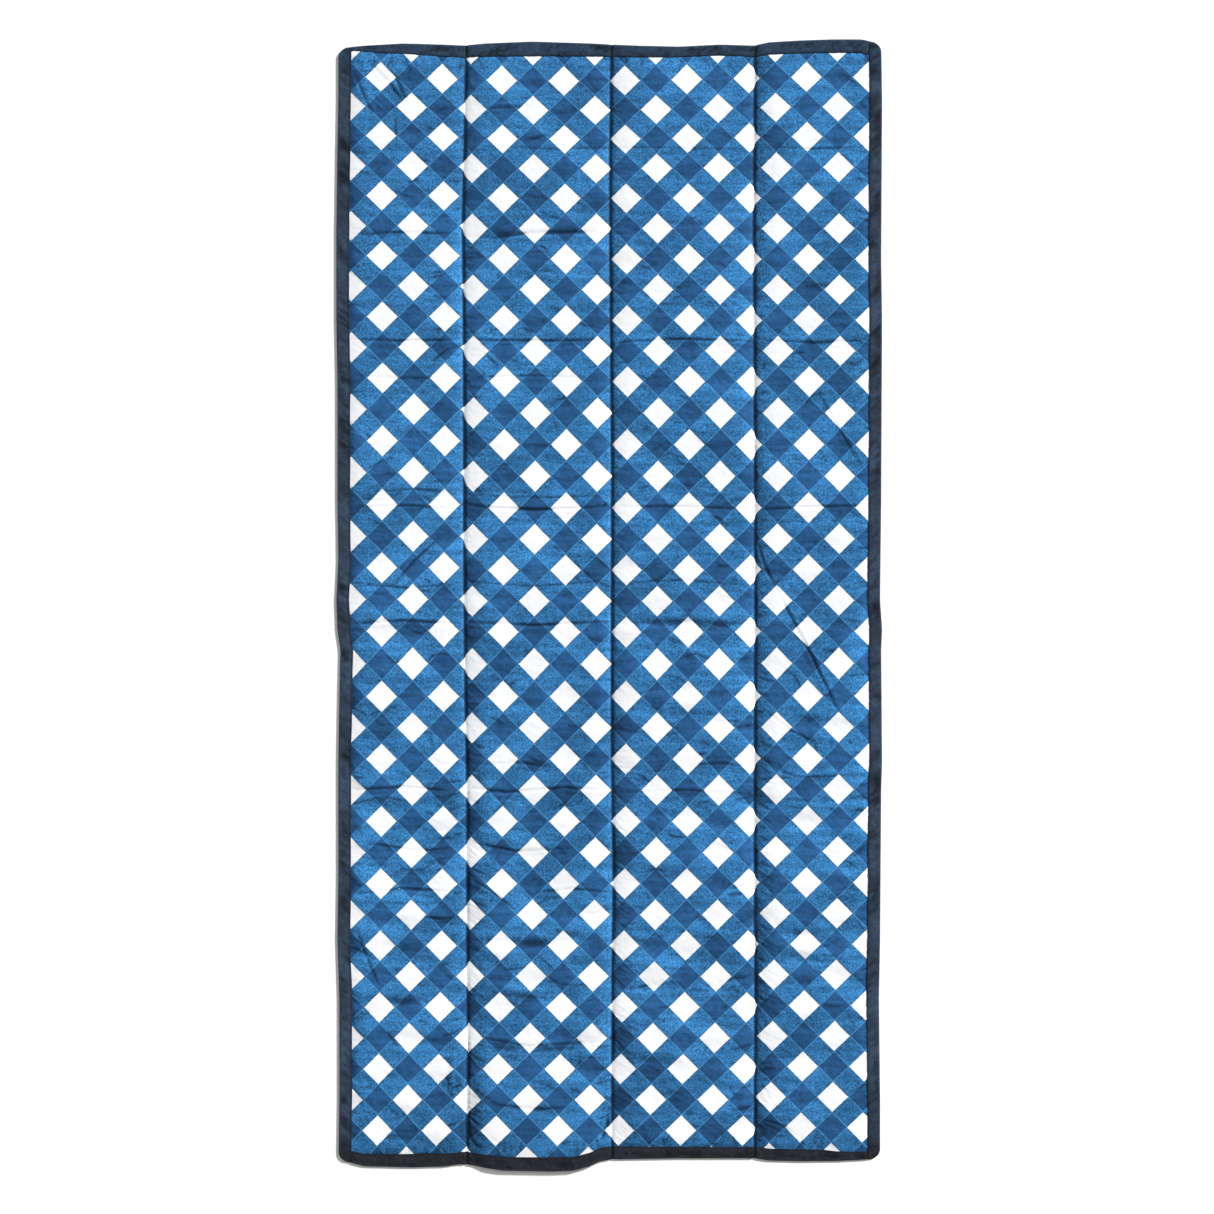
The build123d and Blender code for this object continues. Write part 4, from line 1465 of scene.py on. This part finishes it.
def soft_slab(name, node, material, wave=0.0, clear=0.0, across=24, along=80):
    """A thin closed strip that fills a CAD node's box, but for a clear height at the bottom of it."""
    low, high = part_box(node)
    low.z += clear
    u, v = np.meshgrid(np.linspace(0, 1, along), np.linspace(0, 1, across))
    x = low.x + (high.x - low.x) * u
    y = low.y + (high.y - low.y) * v
    edge = np.minimum.reduce([x - low.x, high.x - x, y - low.y, high.y - y])
    round_off = np.sqrt(np.clip(1 - (1 - np.clip(edge / (0.9 * mm), 0, 1)) ** 2, 0, 1))
    middle = (low.z + high.z) / 2
    half = (high.z - low.z) / 2
    lift = wave * smooth_random(x, y, 0.02, 0.02, 121)
    upper = np.stack([x, y, middle + half * round_off + lift], -1)
    lower = np.stack([x, y, middle - half * round_off + lift], -1)
    piece = closed_slab(name, upper, lower, material)
    local = np.stack([x - low.x, y - low.y, bell(edge, 1.0 * mm)], -1).reshape(-1, 3)
    put_vector(piece, "along", np.concatenate([local, local]))
    weld(piece, 0.001 * mm)
    return piece


def make_hook_tape():
    """Hook tape under the flap: a thin base with rows of small leaning hooks."""
    clear = 0.65 * mm
    base = soft_slab("hook_tape_base", "hook_tape", hooks, clear=clear)
    low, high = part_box("hook_tape")
    low.z += clear
    pitch = 1.7 * mm
    row = np.arange(low.x + 2 * mm, high.x - 2 * mm, pitch)
    x, y = np.meshgrid(row, np.arange(low.y + 2 * mm, high.y - 2 * mm, pitch))
    rng = np.random.default_rng(131)
    x = x.ravel() + rng.normal(0, 0.08 * mm, x.size)
    y = y.ravel()
    foot = np.stack([x, y, np.full_like(x, low.z + 0.2 * mm)], 1)
    tip = foot + np.array([0.35 * mm, 0.05 * mm, -0.62 * mm])
    hook_rows = new_piece("hook_tape_hooks", *capsules(foot, tip, 0.16 * mm, 4), hooks)
    for piece in (base, hook_rows):
        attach(piece, "flap")
        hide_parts("hook_tape")


def make_loop_tape():
    piece = soft_slab("loop_tape_pile", "loop_tape", loops, 0.04 * mm)
    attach(piece, "inner_left")
    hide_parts("loop_tape")


def make_handle():
    """The webbing handle, sewn to the flap at both ends with a box and cross."""
    strap = soft_slab("handle_strap", "carry_handle", webbing_cloth, 0.05 * mm, 0.0, 30, 120)
    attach(strap, "flap")
    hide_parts("carry_handle")
    for side in ("left", "right"):
        low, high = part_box("handle_tack_" + side)
        z = low.z + 0.1 * mm
        corners = [(low.x, low.y), (high.x, low.y), (high.x, high.y), (low.x, high.y), (low.x, low.y)]
        lines = [np.array([(*corners[k], z), (*corners[k + 1], z)]) for k in range(4)]
        lines.append(np.array([(low.x, low.y, z), (high.x, high.y, z)]))
        lines.append(np.array([(low.x, high.y, z), (high.x, low.y, z)]))
        tack = stitch_piece("tack_stitches_" + side, lines, slate_thread, 0.28 * mm, 2.6 * mm)
        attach(tack, "flap")
        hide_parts("handle_tack_" + side)


make_flap_cloth()
make_flap_trim()
make_hook_tape()
make_loop_tape()
make_handle()
